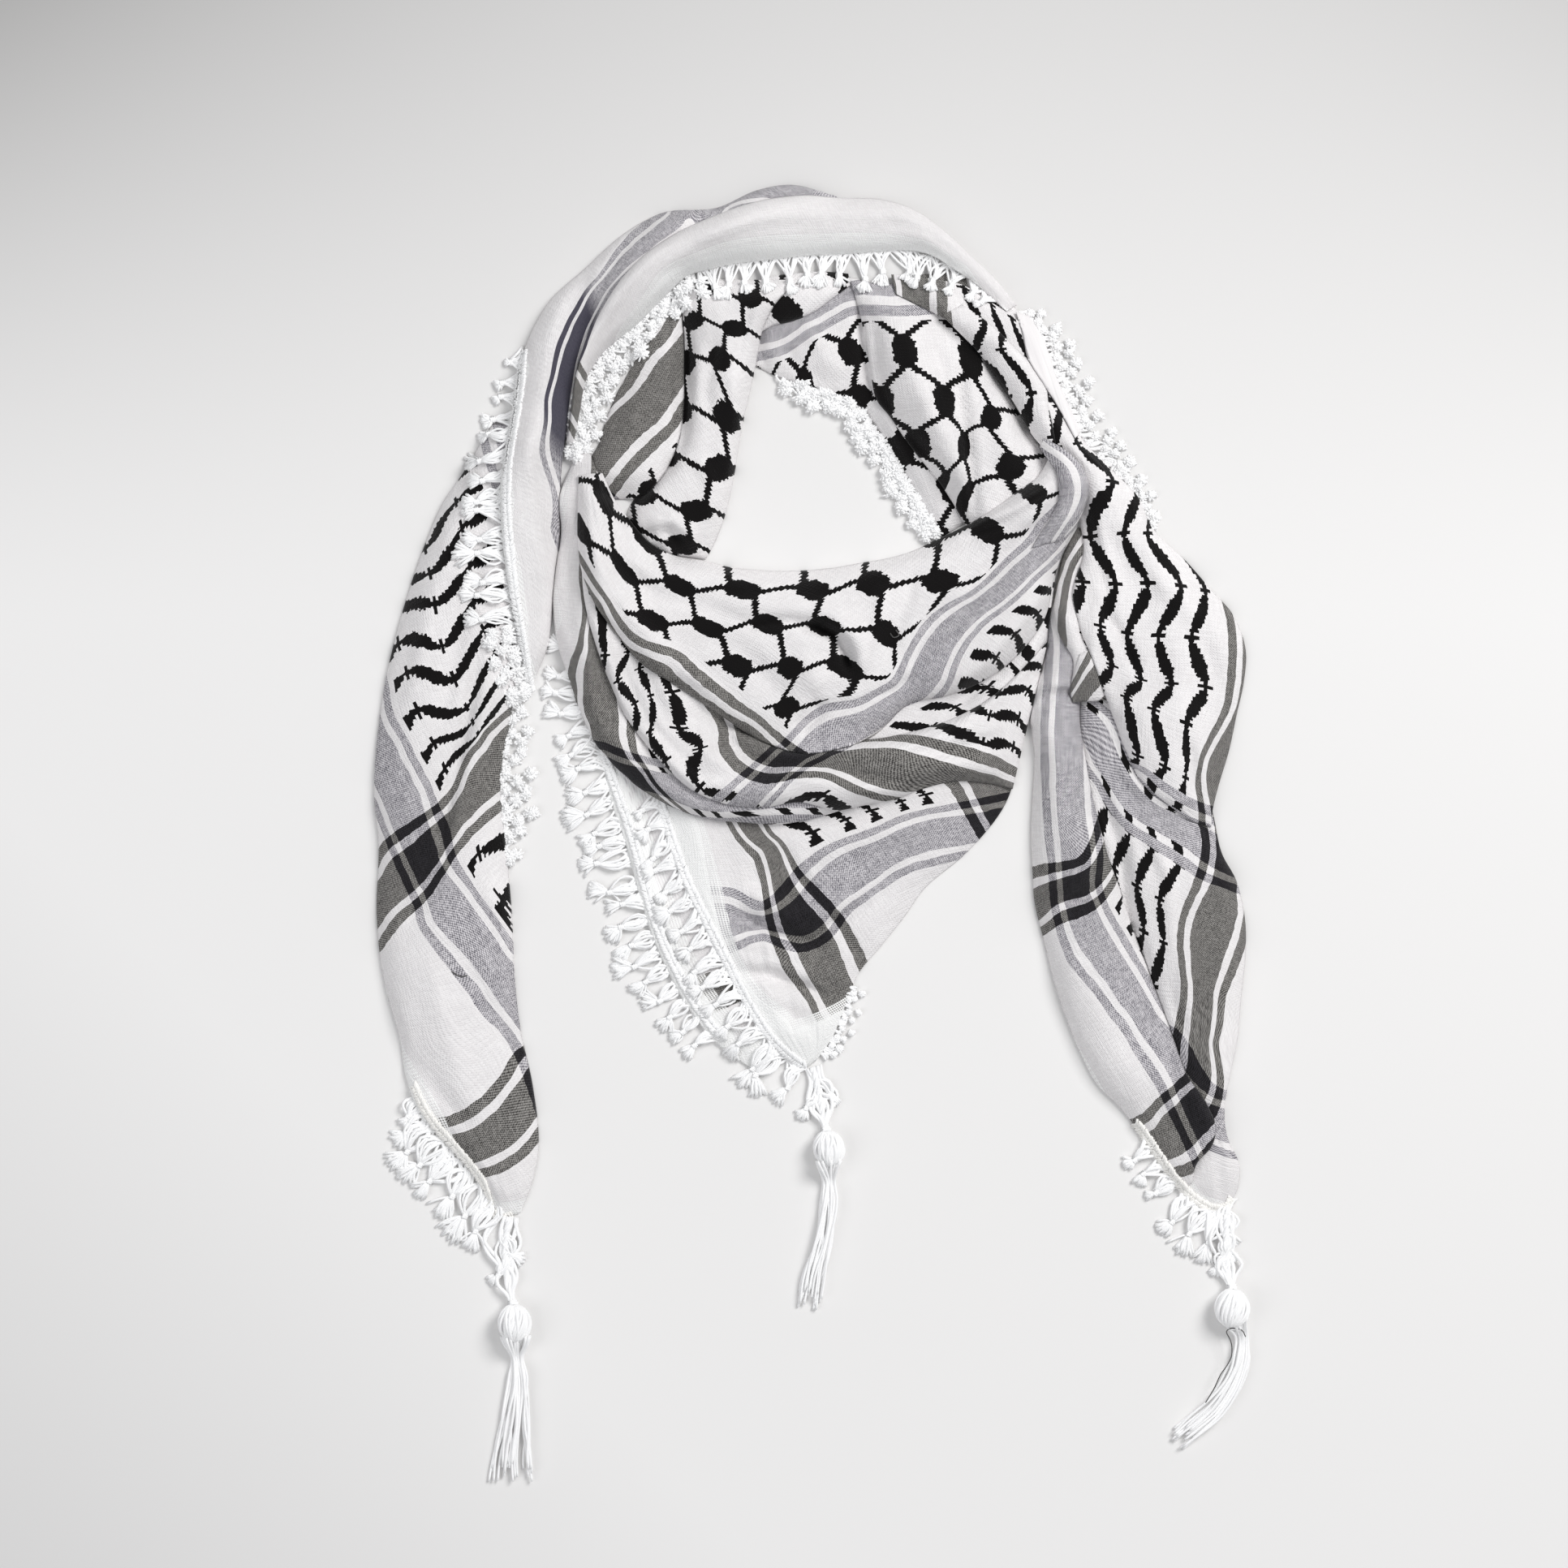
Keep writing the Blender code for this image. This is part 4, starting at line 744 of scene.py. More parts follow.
    "left_roll": """
    q 0: -166,267.5 -174,244 -178.5,216.5 -178.5,188.5 -177.5,151.5 -174,119 -168.5,87
    q 0.9: -161,265 -168.5,244 -172,216.5 -171.5,188.5 -167.5,151.5 -163,119 -161,91.5
    q 3: -142.5,327.5 -161,281.5 -161,235 -159,188.5 -154,142.5 -153,114.5
    q 5.92: -27,361 -45.5,356.5 -81.5,354 -94.5,348.5 -101.5,342 -109,333.5 -114.5,325.5 -119.5,316
      -132.5,300 -141,282.5 -146,267.5 -148.5,256 -150.5,247.5 -153,216.5 -147,175
    q 6.75: 1,364 -30.5,362 -51,357 -85,349 -90.5,341.5 -101.5,332.5 -111,323 -120.5,313.5 -129.5,297.5
      -136.5,282.5 -141.5,267.5 -144.5,256 -146.5,234.5 -147,216.5 -138,179.5
    q 10.07: -129,274.5 -117,302 -103,320.5
    q 12: -121,286 -109.5,308
    q 9.2: -19,370.5 -52.5,360.5 -73,351.5 -86,338 -96.5,328.5 -110,316 -119.5,303.5 -128,286 -133.5,267.5
      -136.5,249 -139.5,230.5
    p 60: 1,367
    p 50: -82.5,346
    p 44: -124,313.5
    p 38: -156.5,225.5
    p 32: -156.5,124
    p 38: -175,225.5
    p 32: -172.5,142.5
    """,
    "back_roll": """
    q 0: -128.5,223.5 -119.5,253.5 -103,281.5 -78,313.5 -64,320.5 -45.5,326.5 -17.5,330 19.5,331.5 47,331.5
      65.5,328.5 84.5,318.5 107.5,297.5
    q 0.9: -122,258 -108,285 -82.5,318.5 -64,326.5 -45.5,333 -17.5,337 19.5,338.5 47,338.5 68,335.5 89,323
    q 5: -135.5,235 -126.5,272 -110,306.5 -91.5,332 -68.5,348.5 -31.5,360 1,363 42.5,361 70.5,350 93.5,332
      109.5,313.5
    p 20: -131,235
    p 28: -115,290.5
    p 38: -73,337
    p 46: -27,346
    p 54: 28.5,347
    p 64: 93.5,323
    """,
    "bib_under": """
    q 0: -117,43 -112.5,22 -105.5,-1 -96.5,-33.5 -89,-56.5 -78,-84.5 -54.5,-117
    q 0.9: -109.5,43 -103,22 -95.5,-6 -86,-31.5 -78,-56.5 -66,-82 -45.5,-111.5
    q 4: -68.5,45 -61.5,3.5 -52.5,-33.5 -36,-75 -17.5,-103
    p 17.8: -96.5,45
    p 17.2: -91.5,-15 -68.5,-6
    p 15.5: -84.5,-56.5 -59.5,-43
    p 8.5: -63,-74.5 -43,-70.5
    p 3.7: -54.5,-103 -34,-94
    """,
    "neck_fold": """
    net: -13,297.5,5,1 15,325.5,7,1 -40.5,269.5,3,1 28,256.5,5,3 -53.5,338,5,-1
    """,
    "neck_stripes": """
    p 22.65: 48.5,316 50,309
    p 22.1: 52,316 52.5,304.5
    p 19.65: 67,316 68,299
    p 19.15: 72,313.5 72.5,296
    p 18.5: 77.5,313.5 78,292.5
    p 17.1: 93,306.5 95,290.5
    p 15.35: 106.5,297 110,281.5
    p 13.6: 117.5,289.5 121.5,273
    q 56.33: 94,299.5 108.5,289 120,281
    q 54.9: 97,287 112,276.5
    q 57.8: 91.5,310 105.5,300
    q 57.6: 52,316
    q 56: 53,303.5
    """,
    "shoulder_pleat": """
    p 17.1: 97.5,288 97,276.5 102,267.5 108.5,257
    p 15.35: 111,275.5 116.5,267.5 120,259 123,250 122,240.5
    p 14.2: 133,244 135,235
    p 18: 86.5,288
    q 52.03: 110,276 97,274
    q 49.16: 122,250 112,249
    q 54.9: 96,291.5
    q 46.3: 133,225.5
    """,
    "band_loop": """
    q 20.5: 135,226.5 148,218.5 156.5,207 158.5,198 157.5,189.5 151.5,177.5
    q 21.05: 132.5,224.5 144.5,216 152,206.5 154,197 152.5,187.5 147,178.5
    q 21.55: 129.5,222 141,212.5 147.5,202.5 149.5,195 147,185 142.5,177 137,168.5
    q 24: 138,179.5 133.5,174 129.5,168.5
    q 22.8: 140,202.5 142,192.5
    p 44: 124.5,228.5
    p 46: 145.5,211
    p 47.5: 153,194
    p 50: 136.5,168.5
    """,
    "tail_tuck": """
    p 18.5: 157,102.5 153,95 149.5,87
    p 19.15: 159.5,100 155,91.5 149.5,80.5
    p 19.65: 162,93.5 156.5,87 150.5,77.5
    p 22.1: 164,87.5 158.5,79.5 153,72
    p 22.6: 170.5,79.5 166,75.5
    q 30: 158.5,102.5
    q 26: 150,75.5 170.5,77.5
    """,
    "shoulder_edge": """
    p 12: 121.5,290.5 135,258
    p 12.3: 128.5,290.5 140,258
    q 3: 121.5,290.5
    q 3.2: 144.5,244
    """,
}
print(sum(text.count(":") for text in THREADS.values()), "thread lines")

# %% [markdown]
# ## Folds
# Thin cotton drapes in long soft ridges with sharper troughs beside them. They are listed one by one: height in
# millimetres, half width in millimetres, then the points the crease runs through.

# %% Folds
FOLDS = {
    "cowl_front": """
    -4 2.6: -38,118 -22,121 -4,121
    -8 3.4: -11,120 3,118 14,113 20,104 24,89
    4 5: 10,125 25,112 31,91
    3 7: -6,105 1,91 5,80
    -5 4.5: 6,78 1,68 -8,58
    3.5 7: -55,129 -27,131 6,128 29,112 38,94
    -7 4: -69,216 -86,203 -101,189 -108,176
    -5 3.5: -128,200 -110,191 -92,175 -74,160
    3.5 5: -126,179 -119,152 -99,120 -71,94 -41,68
    -2.5 7: -64,119 -38,105 -20,84 -8,66
    3 6: -73,156 -45,145 -8,140 29,146 70,156 107,175
    -3.5 5: 140,186 117,163 91,140 66,115 52,87
    3 5: 147,179 126,152 100,131 77,105 61,84
    -4 3.5: -6,60 10,71 30,74 48,81 66,95
    3 4: 140,198 120,188 96,176 70,165
    -2.5 3.5: 133,190 110,176 84,166
    -2 5: -106,156 -92,138 -59,128 -31,119
    2 4: 43,152 40,124 29,96 15,82
    -1.8 4: 61,152 52,124 43,96
    """,
    "neck_left": """
    3.5 7: -52,304 -46,267 -40,235 -44,198 -55,170
    -5 3.2: -70,295 -70,258 -72,230 -75,216
    -6 3.5: -75,216 -88,203 -100,190
    3.5 3.2: -94,176 -79,179 -69,172 -66,160
    -4 2.8: -96,170 -81,174 -73,166
    -3 4: -43,291 -55,277 -59,253 -58,235
    2.5 4: -64,216 -55,198 -59,179
    -2.5 3: -34,300 -40,277 -45,258
    """,
    "neck_panel": """
    3 7: -78,281 -89,256 -106,226
    -3 3: -75,291 -74,253 -75,226
    -1.5 4: -96,277 -106,253 -115,226
    """,
    "neck_back": """
    -4 3: -28,300 -29,277 -23,258
    -4 3: 31,311 29,293 31,272 36,249
    2.5 6: -4,295 6,277 19,260
    -2 4: -18,281 -6,267 10,256
    2 4: 38,244 56,216 70,189
    """,
    "neck_right": """
    4 8: 50,300 59,267 73,235 84,207 91,189
    -5 3.2: 87,274 86,249 90,221 93,198 95,179
    -3 4: 36,300 38,267 47,235 70,207
    3.5 3.2: 77,296 96,272 119,244 139,218
    3.5 7: 106,258 112,230 112,203
    -3 3.5: 100,272 114,249 133,223
    -2.5 4: 70,281 77,263 70,235
    -2 3: 56,230 68,216 77,198
    """,
    "back_roll": """
    2.2 6: -106,291 -75,325 -43,345 1,354 47,353 87,335
    -2 2.6: -103,293 -86,314 -63,332 -31,344 6,348
    -1.6 3: -122,272 -106,304 -82,328 -55,345
    1.6 3: -117,263 -99,297 -73,323
    -1.5 4: -18,354 19,358 52,354
    -1.5 3: 38,350 66,344 89,327
    """,
    "left_roll": """
    -5 6: -122,323 -136,297 -143,272 -145,244
    -3.5 3: -86,352 -103,338 -116,319 -128,291 -135,267
    2.5 5: -154,258 -159,216 -156,170 -147,124
    -2 3: -147,244 -151,198 -146,152 -140,110
    -2 3: -138,258 -141,226 -135,189
    2 3.5: -64,354 -87,341 -106,316 -122,288
    2 6: -138,300 -147,272 -152,244
    """,
    "cowl_lip": """
    -4 4: -119,133 -106,105 -101,68 -89,43 -63,20
    3 5: -131,142 -128,105 -122,68 -106,41
    -2 4: -138,179 -136,142 -138,110
    2.5 3.5: -92,31 -64,15 -27,9
    """,
    "cowl_under": """
    3.5 4: 145,149 128,128 100,98 70,74
    -4.5 3.2: 140,141 119,110 100,87 73,66
    3.5 4: 136,119 117,89 89,66 52,53
    -2.5 3: 117,135 94,115 77,91
    """,
    "cowl_mid": """
    3 6: 111,34 70,41 29,47 1,43 -31,31
    -5 4: -52,68 -31,57 -11,49 19,53 47,60 80,69 107,86
    -4 4: -119,124 -106,91 -92,63 -69,38 -52,24
    4 6: -94,110 -80,78 -59,47 -38,31
    -4.5 3.2: -51,68 -43,49 -22,38 8,41
    3.5 4: -40,57 -22,47 1,47
    -3 3: -69,75 -48,63 -27,57
    2.5 4: -18,32 19,28 50,20
    -2.5 3.5: 10,37 43,30 80,27 112,22
    3 6: 107,68 80,57 47,50
    -2.5 4: 114,57 84,47 52,44
    """,
    "bib": """
    -4 5: -52,10 -27,3 -4,7 29,13 66,20
    -4.5 3: -43,-79 -22,-81 -4,-87 10,-93 20,-92
    3.2 4.5: -45,-71 -20,-73 3,-82 19,-87
    -5 3.2: -53,-44 -34,-49 -19,-58 1,-62 18,-48 36,-36
    3.5 5: -43,-31 -25,-38 -6,-50 15,-34
    -2.5 3: -17,-4 -6,-24 19,-57 36,-80
    2.5 7: 110,8 80,-15 47,-47 29,-75
    -2 5: 89,-15 61,-34 38,-61
    2.5 4: -50,-57 -27,-65 1,-71
    -2 5: -18,-98 1,-109
    2 6: -31,-91 -8,-98 10,-105
    -3 3: 1,-80 15,-87 24,-95
    2 5: 1,-15 29,-3 70,6
    """,
    "left_tail": """
    -5 3.2: -188,112 -192,87 -197,59 -205,22 -210,-16
    4 5: -179,105 -184,73 -191,41 -200,8 -206,-15
    2 9: -221,-57 -210,-103 -196,-149 -179,-196
    2.5 6: -185,216 -203,175 -217,124 -231,68
    -3 5: -183,179 -190,152 -198,124 -205,87 -212,59
    1.5 8: -244,-34 -236,-80 -231,-122
    -2.5 4: -166,-122 -159,-147
    -2.5 4: -210,-16 -220,-38 -231,-52
    2 5: -184,-24 -173,-57 -166,-94
    -2 6: -203,-61 -189,-89 -170,-122
    -1.6 5: -231,-122 -212,-149 -189,-172
    """,
    "shoulder_tail": """
    -4 2.8: 167,129 179,110 188,91
    2.5 7: 149,226 173,179 195,149 223,122 243,94
    -2.5 4: 140,230 159,179 170,133 164,105
    2.2 7: 186,189 200,142 210,96 209,45
    -2 5: 205,175 223,128 232,84 223,50
    2.5 4: 161,189 169,156 177,128
    -2 4: 107,291 135,258 161,216
    -2.5 3: 214,59 220,31 224,13
    2 3: 186,91 179,68 186,45
    """,
    "tail_panel": """
    -5 4: 161,38 178,-10 185,-57 195,-94 209,-126 218,-142
    3.5 5: 185,13 205,-24 209,-71 212,-108
    -2.5 3.5: 210,-15 210,-52 208,-94 212,-122
    -3.5 3.2: 218,34 225,8 235,-15
    2.5 5: 228,13 239,-24 235,-71 225,-108
    2.5 3: 161,57 184,29 209,13
    -2 4: 168,59 186,13 200,-34
    2 4: 232,-140 237,-172 239,-205
    """,
    "tail_blue": """
    -4.5 2.4: 130,74 138,79 147,81 154,78
    2.5 3: 128,82 140,86 151,84
    3 6: 140,59 143,13 148,-15
    -3.5 3.5: 159,124 162,59 165,13 169,-15
    -4 3.2: 174,3 171,-20 161,-33 140,-42
    2.5 9: 140,-61 163,-108 191,-149
    3 3: 164,-6 154,-24 135,-34
    -2 5: 172,-52 191,-94 207,-135
    -3 3: 205,-126 212,-147 219,-168
    1.5 6: 135,-71 154,-112 177,-145
    """,
    "tail_flap": """
    -4 3: 154,156 161,133 154,105
    3 4: 168,142 163,115 158,82
    2.5 3: 144,170 140,142 149,110
    """,
    "bib_under": """
    2 6: -110,36 -92,-29 -69,-80
    -2 4: -101,36 -82,-29 -59,-75
    """,
}
print(sum(text.count(":") for text in FOLDS.values()), "folds")

# %% [markdown]
# ## Laying cloth on cloth
# Simulating the whole winding would drift away from the real lay, so each stretch is laid in turn on a height
# map of everything under it, as one lays paper on paper. The map is a plain grid of heights, 1 mm apart.

# %% Height map
GROUND_X, GROUND_Y = 300, 420
JUST_INSIDE = 1.001
ground = np.zeros((2 * GROUND_Y + 1, 2 * GROUND_X + 1))


def ground_at(x, y):
    """Height of what has been laid at places in plan, between the four nearest heights."""
    col = np.clip(x + GROUND_X, 0, 2 * GROUND_X - JUST_INSIDE)
    row = np.clip(y + GROUND_Y, 0, 2 * GROUND_Y - JUST_INSIDE)
    i, j = row.astype(int), col.astype(int)
    v, u = row - i, col - j
    low = ground[i, j] * (1 - u) + ground[i, j + 1] * u
    return low * (1 - v) + (ground[i + 1, j] * (1 - u) + ground[i + 1, j + 1] * u) * v


def finer(grid, times=3):
    """The same grid with more rows and columns, in straight steps."""
    rows, cols = grid.shape
    r, c = np.linspace(0, rows - 1, times * rows), np.linspace(0, cols - 1, times * cols)
    grid = np.stack([np.interp(r, np.arange(rows), line) for line in grid.T], 1)
    return np.stack([np.interp(c, np.arange(cols), line) for line in grid])


def lay_on_ground(x, y, z):
    """Raises the height map to a laid grid."""
    x, y, z = finer(x), finer(y), finer(z)
    row, col = np.rint(y + GROUND_Y).astype(int), np.rint(x + GROUND_X).astype(int)
    np.maximum.at(ground, (np.clip(row, 0, 2 * GROUND_Y), np.clip(col, 0, 2 * GROUND_X)), z)


print("height map:", ground.shape)


# %% Softening
def softened(grid, reach):
    """A grid blurred by a running mean along each of its two ways, twice."""
    for _ in range(2):
        for way in (0, 1):
            r = max(1, min(reach, (grid.shape[way] - 1) // 2))
            padded = np.concatenate([np.repeat(grid.take([0], way), r, way), grid,
                                     np.repeat(grid.take([-1], way), r + 1, way)], way)
            total = np.cumsum(padded, way)
            n = grid.shape[way]
            grid = (total.take(range(2 * r, 2 * r + n), way) - total.take(range(0, n), way)
                    + padded.take(range(0, n), way)) / (2 * r + 1)
    return grid


def softened_rows(table, reach):
    """Each column of a table of rows blurred along the rows only."""
    return np.stack([softened(column[:, None], reach)[:, 0] for column in table.T], 1)


print("a spike of 9 softens to", softened(np.eye(5) * 9, 1).max().round(1))

# %% [markdown]
# ## From cross sections to a grid
# Smooth curves run through the section ends, and a rounded profile stands between them, steep at the edges
# and flat on top, as a loosely rolled layer of cloth has.

# %% Curves through the sections
FEWEST_CELLS = 6


def length_steps(points):
    """The distance from each point of a line to the next."""
    return np.linalg.norm(np.diff(points, axis=0), axis=1)


def middle_line(table):
    """The line midway between the two edges."""
    return (table[:, 0:2] + table[:, 2:4]) / 2


def section_curves(sections, count):
    """The edges and the crown along a stretch, smooth through its sections, at evenly spaced places."""
    table = np.array(sections, float)
    at = np.concatenate([[0.0], np.cumsum(np.maximum(length_steps(middle_line(table)), 1.0))])
    slopes = np.gradient(table, at, axis=0)
    place = np.linspace(0.0, at[-1], count)
    k = np.clip(np.searchsorted(at, place, side="right") - 1, 0, len(at) - 2)
    span = (at[k + 1] - at[k])[:, None]
    t = ((place - at[k]) / span[:, 0])[:, None]
    start, end = table[k], table[k + 1]
    curve = (2 * t**3 - 3 * t**2 + 1) * start + (t**3 - 2 * t**2 + t) * span * slopes[k]
    curve += (3 * t**2 - 2 * t**3) * end + (t**3 - t**2) * span * slopes[k + 1]
    return curve, place


def size_of(sections):
    """Length along a stretch and its greatest width."""
    table = np.array(sections, float)
    return length_steps(middle_line(table)).sum(), np.linalg.norm(table[:, 2:4] - table[:, 0:2], axis=1).max()


print("length and width of the bib in mm:", [round(v) for v in size_of(CLOTH["bib"])])

# %% Grid of a stretch
CELL = 2.2
END_TAPER = 14.0
EDGE_STEEP, EDGE_ROUND = 2.6, 0.75


def plan(sections, cell):
    """Plan places of a stretch as a grid, with the rounded height above what it lies on."""
    length, width = size_of(sections)
    rows, columns = max(FEWEST_CELLS, round(length / cell)), max(FEWEST_CELLS, round(width / cell))
    curve, place = section_curves(sections, rows + 1)
    even = np.linspace(0, 1, columns + 1)
    across = 0.5 * even + 0.5 * (0.5 - 0.5 * np.cos(np.pi * even))
    x = curve[:, 0:1] + (curve[:, 2:3] - curve[:, 0:1]) * across
    y = curve[:, 1:2] + (curve[:, 3:4] - curve[:, 1:2]) * across
    profile = (1 - np.abs(2 * across - 1) ** EDGE_STEEP) ** EDGE_ROUND
    taper = np.sqrt(np.clip(np.minimum(place, place[-1] - place) / END_TAPER, 0, 1))
    return x, y, (curve[:, 4] * taper)[:, None] * profile


print("grid of the bib:", plan(CLOTH["bib"], CELL)[0].shape)

# %% [markdown]
# ## Fitting the threads
# A thin-plate surface is the smoothest one through scattered values, which is what tensioned threads do.

# %% Thin-plate fit
STIFFNESS = 0.02
FIT_UNIT = 50
AT_ONCE = 4000


def kernel(d):
    """How one pinned place pulls on a place at a distance."""
    return np.where(d > 0, d * d * np.log(np.maximum(d, 1e-9)), 0)


def thin_plate(known, x, y):
    """Value at x, y of the smoothest surface near the known (x, y, value) rows."""
    known = np.array(known, float)
    at, value = known[:, :2] / FIT_UNIT, known[:, 2]
    count = len(at)
    apart = np.linalg.norm(at[:, None] - at[None], axis=2)
    plane = np.c_[np.ones(count), at]
    whole = np.block([[kernel(apart) + STIFFNESS * np.eye(count), plane], [plane.T, np.zeros((3, 3))]])
    weight = np.linalg.lstsq(whole, np.r_[value, 0, 0, 0], rcond=None)[0]
    places = np.stack([x.ravel(), y.ravel()], 1) / FIT_UNIT
    out = []
    for part in np.array_split(places, max(1, len(places) // AT_ONCE)):
        d = np.linalg.norm(part[:, None] - at[None], axis=2)
        out.append(kernel(d) @ weight[:count] + np.c_[np.ones(len(part)), part] @ weight[count:])
    return np.concatenate(out).reshape(x.shape)


# %% p and q on a stretch
# The first knot of the net and the step from knot to knot, in centimetres, along p and along q.
NET_P, NET_Q = (24.9, 1.95), (27.3, 2.9)
THREAD_LINE = re.compile(r"(p|q|net) ?([\d.]*):([-\d.,\s]+)")


def points_in(text):
    """The numbers of each point written in a text as x,y or x,y,column,row."""
    return [[float(number) for number in point.split(",")] for point in text.split()]


def thread_places(name, x, y):
    """p and q of the cloth, in centimetres, at places on a stretch."""
    known = {"p": [], "q": []}
    for kind, value, points in THREAD_LINE.findall(THREADS[name]):
        for px, py, *knot in points_in(points):
            if kind == "net":
                known["p"].append((px, py, NET_P[0] + NET_P[1] * knot[0]))
                known["q"].append((px, py, NET_Q[0] + NET_Q[1] * knot[1]))
            else:
                known[kind].append((px, py, float(value)))
    return thin_plate(known["p"], x, y), thin_plate(known["q"], x, y)


print("p at the middle of the bib:", thread_places("bib", np.zeros(1), np.zeros(1))[0].round(1))

# %% [markdown]
# ## Shaping folds and wrinkles
# Each fold is a bell-shaped ridge or trough along its line, fading at both ends. Small uneven wrinkles come
# from a smooth random field stretched along the ribbon, because tension pulls creases lengthwise.

# %% Folds
FADE_RATE, FADE_START = 4, 0.15
FAR_AWAY = 1e9


def fold_heights(name, x, y):
    """Sum of the folds of a stretch at places in plan."""
    total = np.zeros(x.shape)
    for fold in FOLDS.get(name, "").strip().splitlines():
        sizes, points = fold.split(":")
        height, half = (float(size) for size in sizes.split())
        line = np.array(points_in(points))
        best, along = np.full(x.shape, FAR_AWAY), np.zeros(x.shape)
        steps = length_steps(line)
        start = np.concatenate([[0], np.cumsum(steps)])
        for (ax, ay), (bx, by), step, before in zip(line, line[1:], steps, start):
            t = np.clip(((x - ax) * (bx - ax) + (y - ay) * (by - ay)) / step**2, 0, 1)
            far = np.hypot(x - ax - t * (bx - ax), y - ay - t * (by - ay))
            near = far < best
            best = np.where(near, far, best)
            along = np.where(near, (before + t * step) / start[-1], along)
        fade = np.clip(np.minimum(along, 1 - along) * FADE_RATE + FADE_START, 0, 1)
        total += height * np.exp(-((best / half) ** 2)) * fade * fade * (3 - 2 * fade)
    return total


# %% Wrinkles
def wrinkles(shape, seed, long_cells, wide_cells):
    """A smooth random field from about -1 to 1 over a grid."""
    draw = np.random.default_rng(seed)
    rows, cols = max(4, round(shape[0] / long_cells)), max(4, round(shape[1] / wide_cells))
    coarse = draw.uniform(-1, 1, (rows + 3, cols + 3))
    r, c = np.linspace(1, rows + 0.999, shape[0]), np.linspace(1, cols + 0.999, shape[1])
    i, j = r.astype(int), c.astype(int)
    u, v = r - i, c - j
    u, v = (u * u * (3 - 2 * u))[:, None], (v * v * (3 - 2 * v))[None]
    near, far = ((coarse[np.ix_(k, j)], coarse[np.ix_(k, j + 1)]) for k in (i, i + 1))
    return (near[0] + (near[1] - near[0]) * v) * (1 - u) + (far[0] + (far[1] - far[0]) * v) * u


print("wrinkles from", *(f(wrinkles((60, 40), 1, 16, 6)).round(2) for f in (np.min, np.max)))

# %% [markdown]
# ## Turning points into a mesh
# Every mesh is made from lists of points and faces, because its shape is already worked out in numbers.

# %% Mesh helpers
def new_object(name, points, faces):
    """A smooth mesh object from points in millimetres."""
    mesh = bpy.data.meshes.new(name)
    mesh.from_pydata(((np.asarray(points, float) - (*CENTRE, 0)) * MM).tolist(), [], faces)
    mesh.shade_smooth()
    obj = bpy.data.objects.new(name, mesh)
    bpy.context.scene.collection.objects.link(obj)
    return obj


def grid_faces(rows, cols):
    """Four-cornered faces of a grid of points, facing up for a ribbon that runs left edge to right edge."""
    index = np.arange(rows * cols).reshape(rows, cols)
    return np.stack([index[:-1, :-1], index[1:, :-1], index[1:, 1:], index[:-1, 1:]], -1).reshape(-1, 4)


def area_of(points, faces):
    """Area of four-cornered faces, in square metres."""
    a, b, c, d = (points[faces[:, k]] for k in range(4))
    halves = np.cross(b - a, c - a), np.cross(c - a, d - a)
    return sum(np.linalg.norm(half, axis=1).sum() for half in halves) / 2 * MM * MM


print("faces of a 3 by 3 grid:", len(grid_faces(3, 3)))

# %% [markdown]
# ## Laying a stretch
# The base is the height map under the stretch, softened so that cloth bridges small hollows. The crown, the
# folds and the wrinkles stand on it. The shell is one open sheet whose rim turns down and in, as a folded
# edge does, and every point keeps its p and q in a UV map, a hundredth of a unit for each centimetre.

# %% Height of a stretch
LIFT = 0.9
# Height of the wrinkles in millimetres, then their length and width in grid cells.
BROAD, FINE = (0.9, 16, 6), (0.35, 7, 2.6)
FULL_CROWN, LEAST_SOFT = 6, 0.25
HEM_WIDE, HEM_RISE, CLEAR = 0.95, 0.5, 0.4


def laid_height(name, seed, x, y, crown, under):
    """Height of a stretch, without its hem, at its grid places."""
    base = under
    for _ in range(3):
        base = np.maximum(under, softened(base, 3))
    rough = fold_heights(name, x, y)
    for number, (height, long_cells, wide_cells) in enumerate((BROAD, FINE)):
        rough = rough + height * wrinkles(x.shape, seed + number, long_cells, wide_cells)
    return softened(base, 1) + LIFT + crown + np.clip(crown / FULL_CROWN, LEAST_SOFT, 1) * rough


# %% Rim of a stretch
CURL, DROP, RIM_GAP = 1.4, 7.0, 0.3


def rimmed(grid, rim):
    """A grid with one more row or column all round, taken from the rim's values."""
    grid = np.concatenate([rim[:, :1], grid, rim[:, -1:]], 1)
    rim = np.concatenate([rim[:, :1], rim, rim[:, -1:]], 1)
    return np.concatenate([rim[:1], grid, rim[-1:]], 0)


def shell_points(x, y, z, under):
    """The points of a shell: the laid grid, and a rim a little inside its edge and lower."""
    cx, cy = x.mean(1, keepdims=True), y.mean(1, keepdims=True)
    far = np.maximum(np.hypot(x - cx, y - cy), 1e-6)
    inner_x, inner_y = x + (cx - x) / far * CURL, y + (cy - y) / far * CURL
    low = np.maximum(np.minimum(under, z - RIM_GAP), z - DROP)
    return np.stack([rimmed(x, inner_x), rimmed(y, inner_y), rimmed(z, low)], -1).reshape(-1, 3)


# %% Lay a stretch
cuts = {}


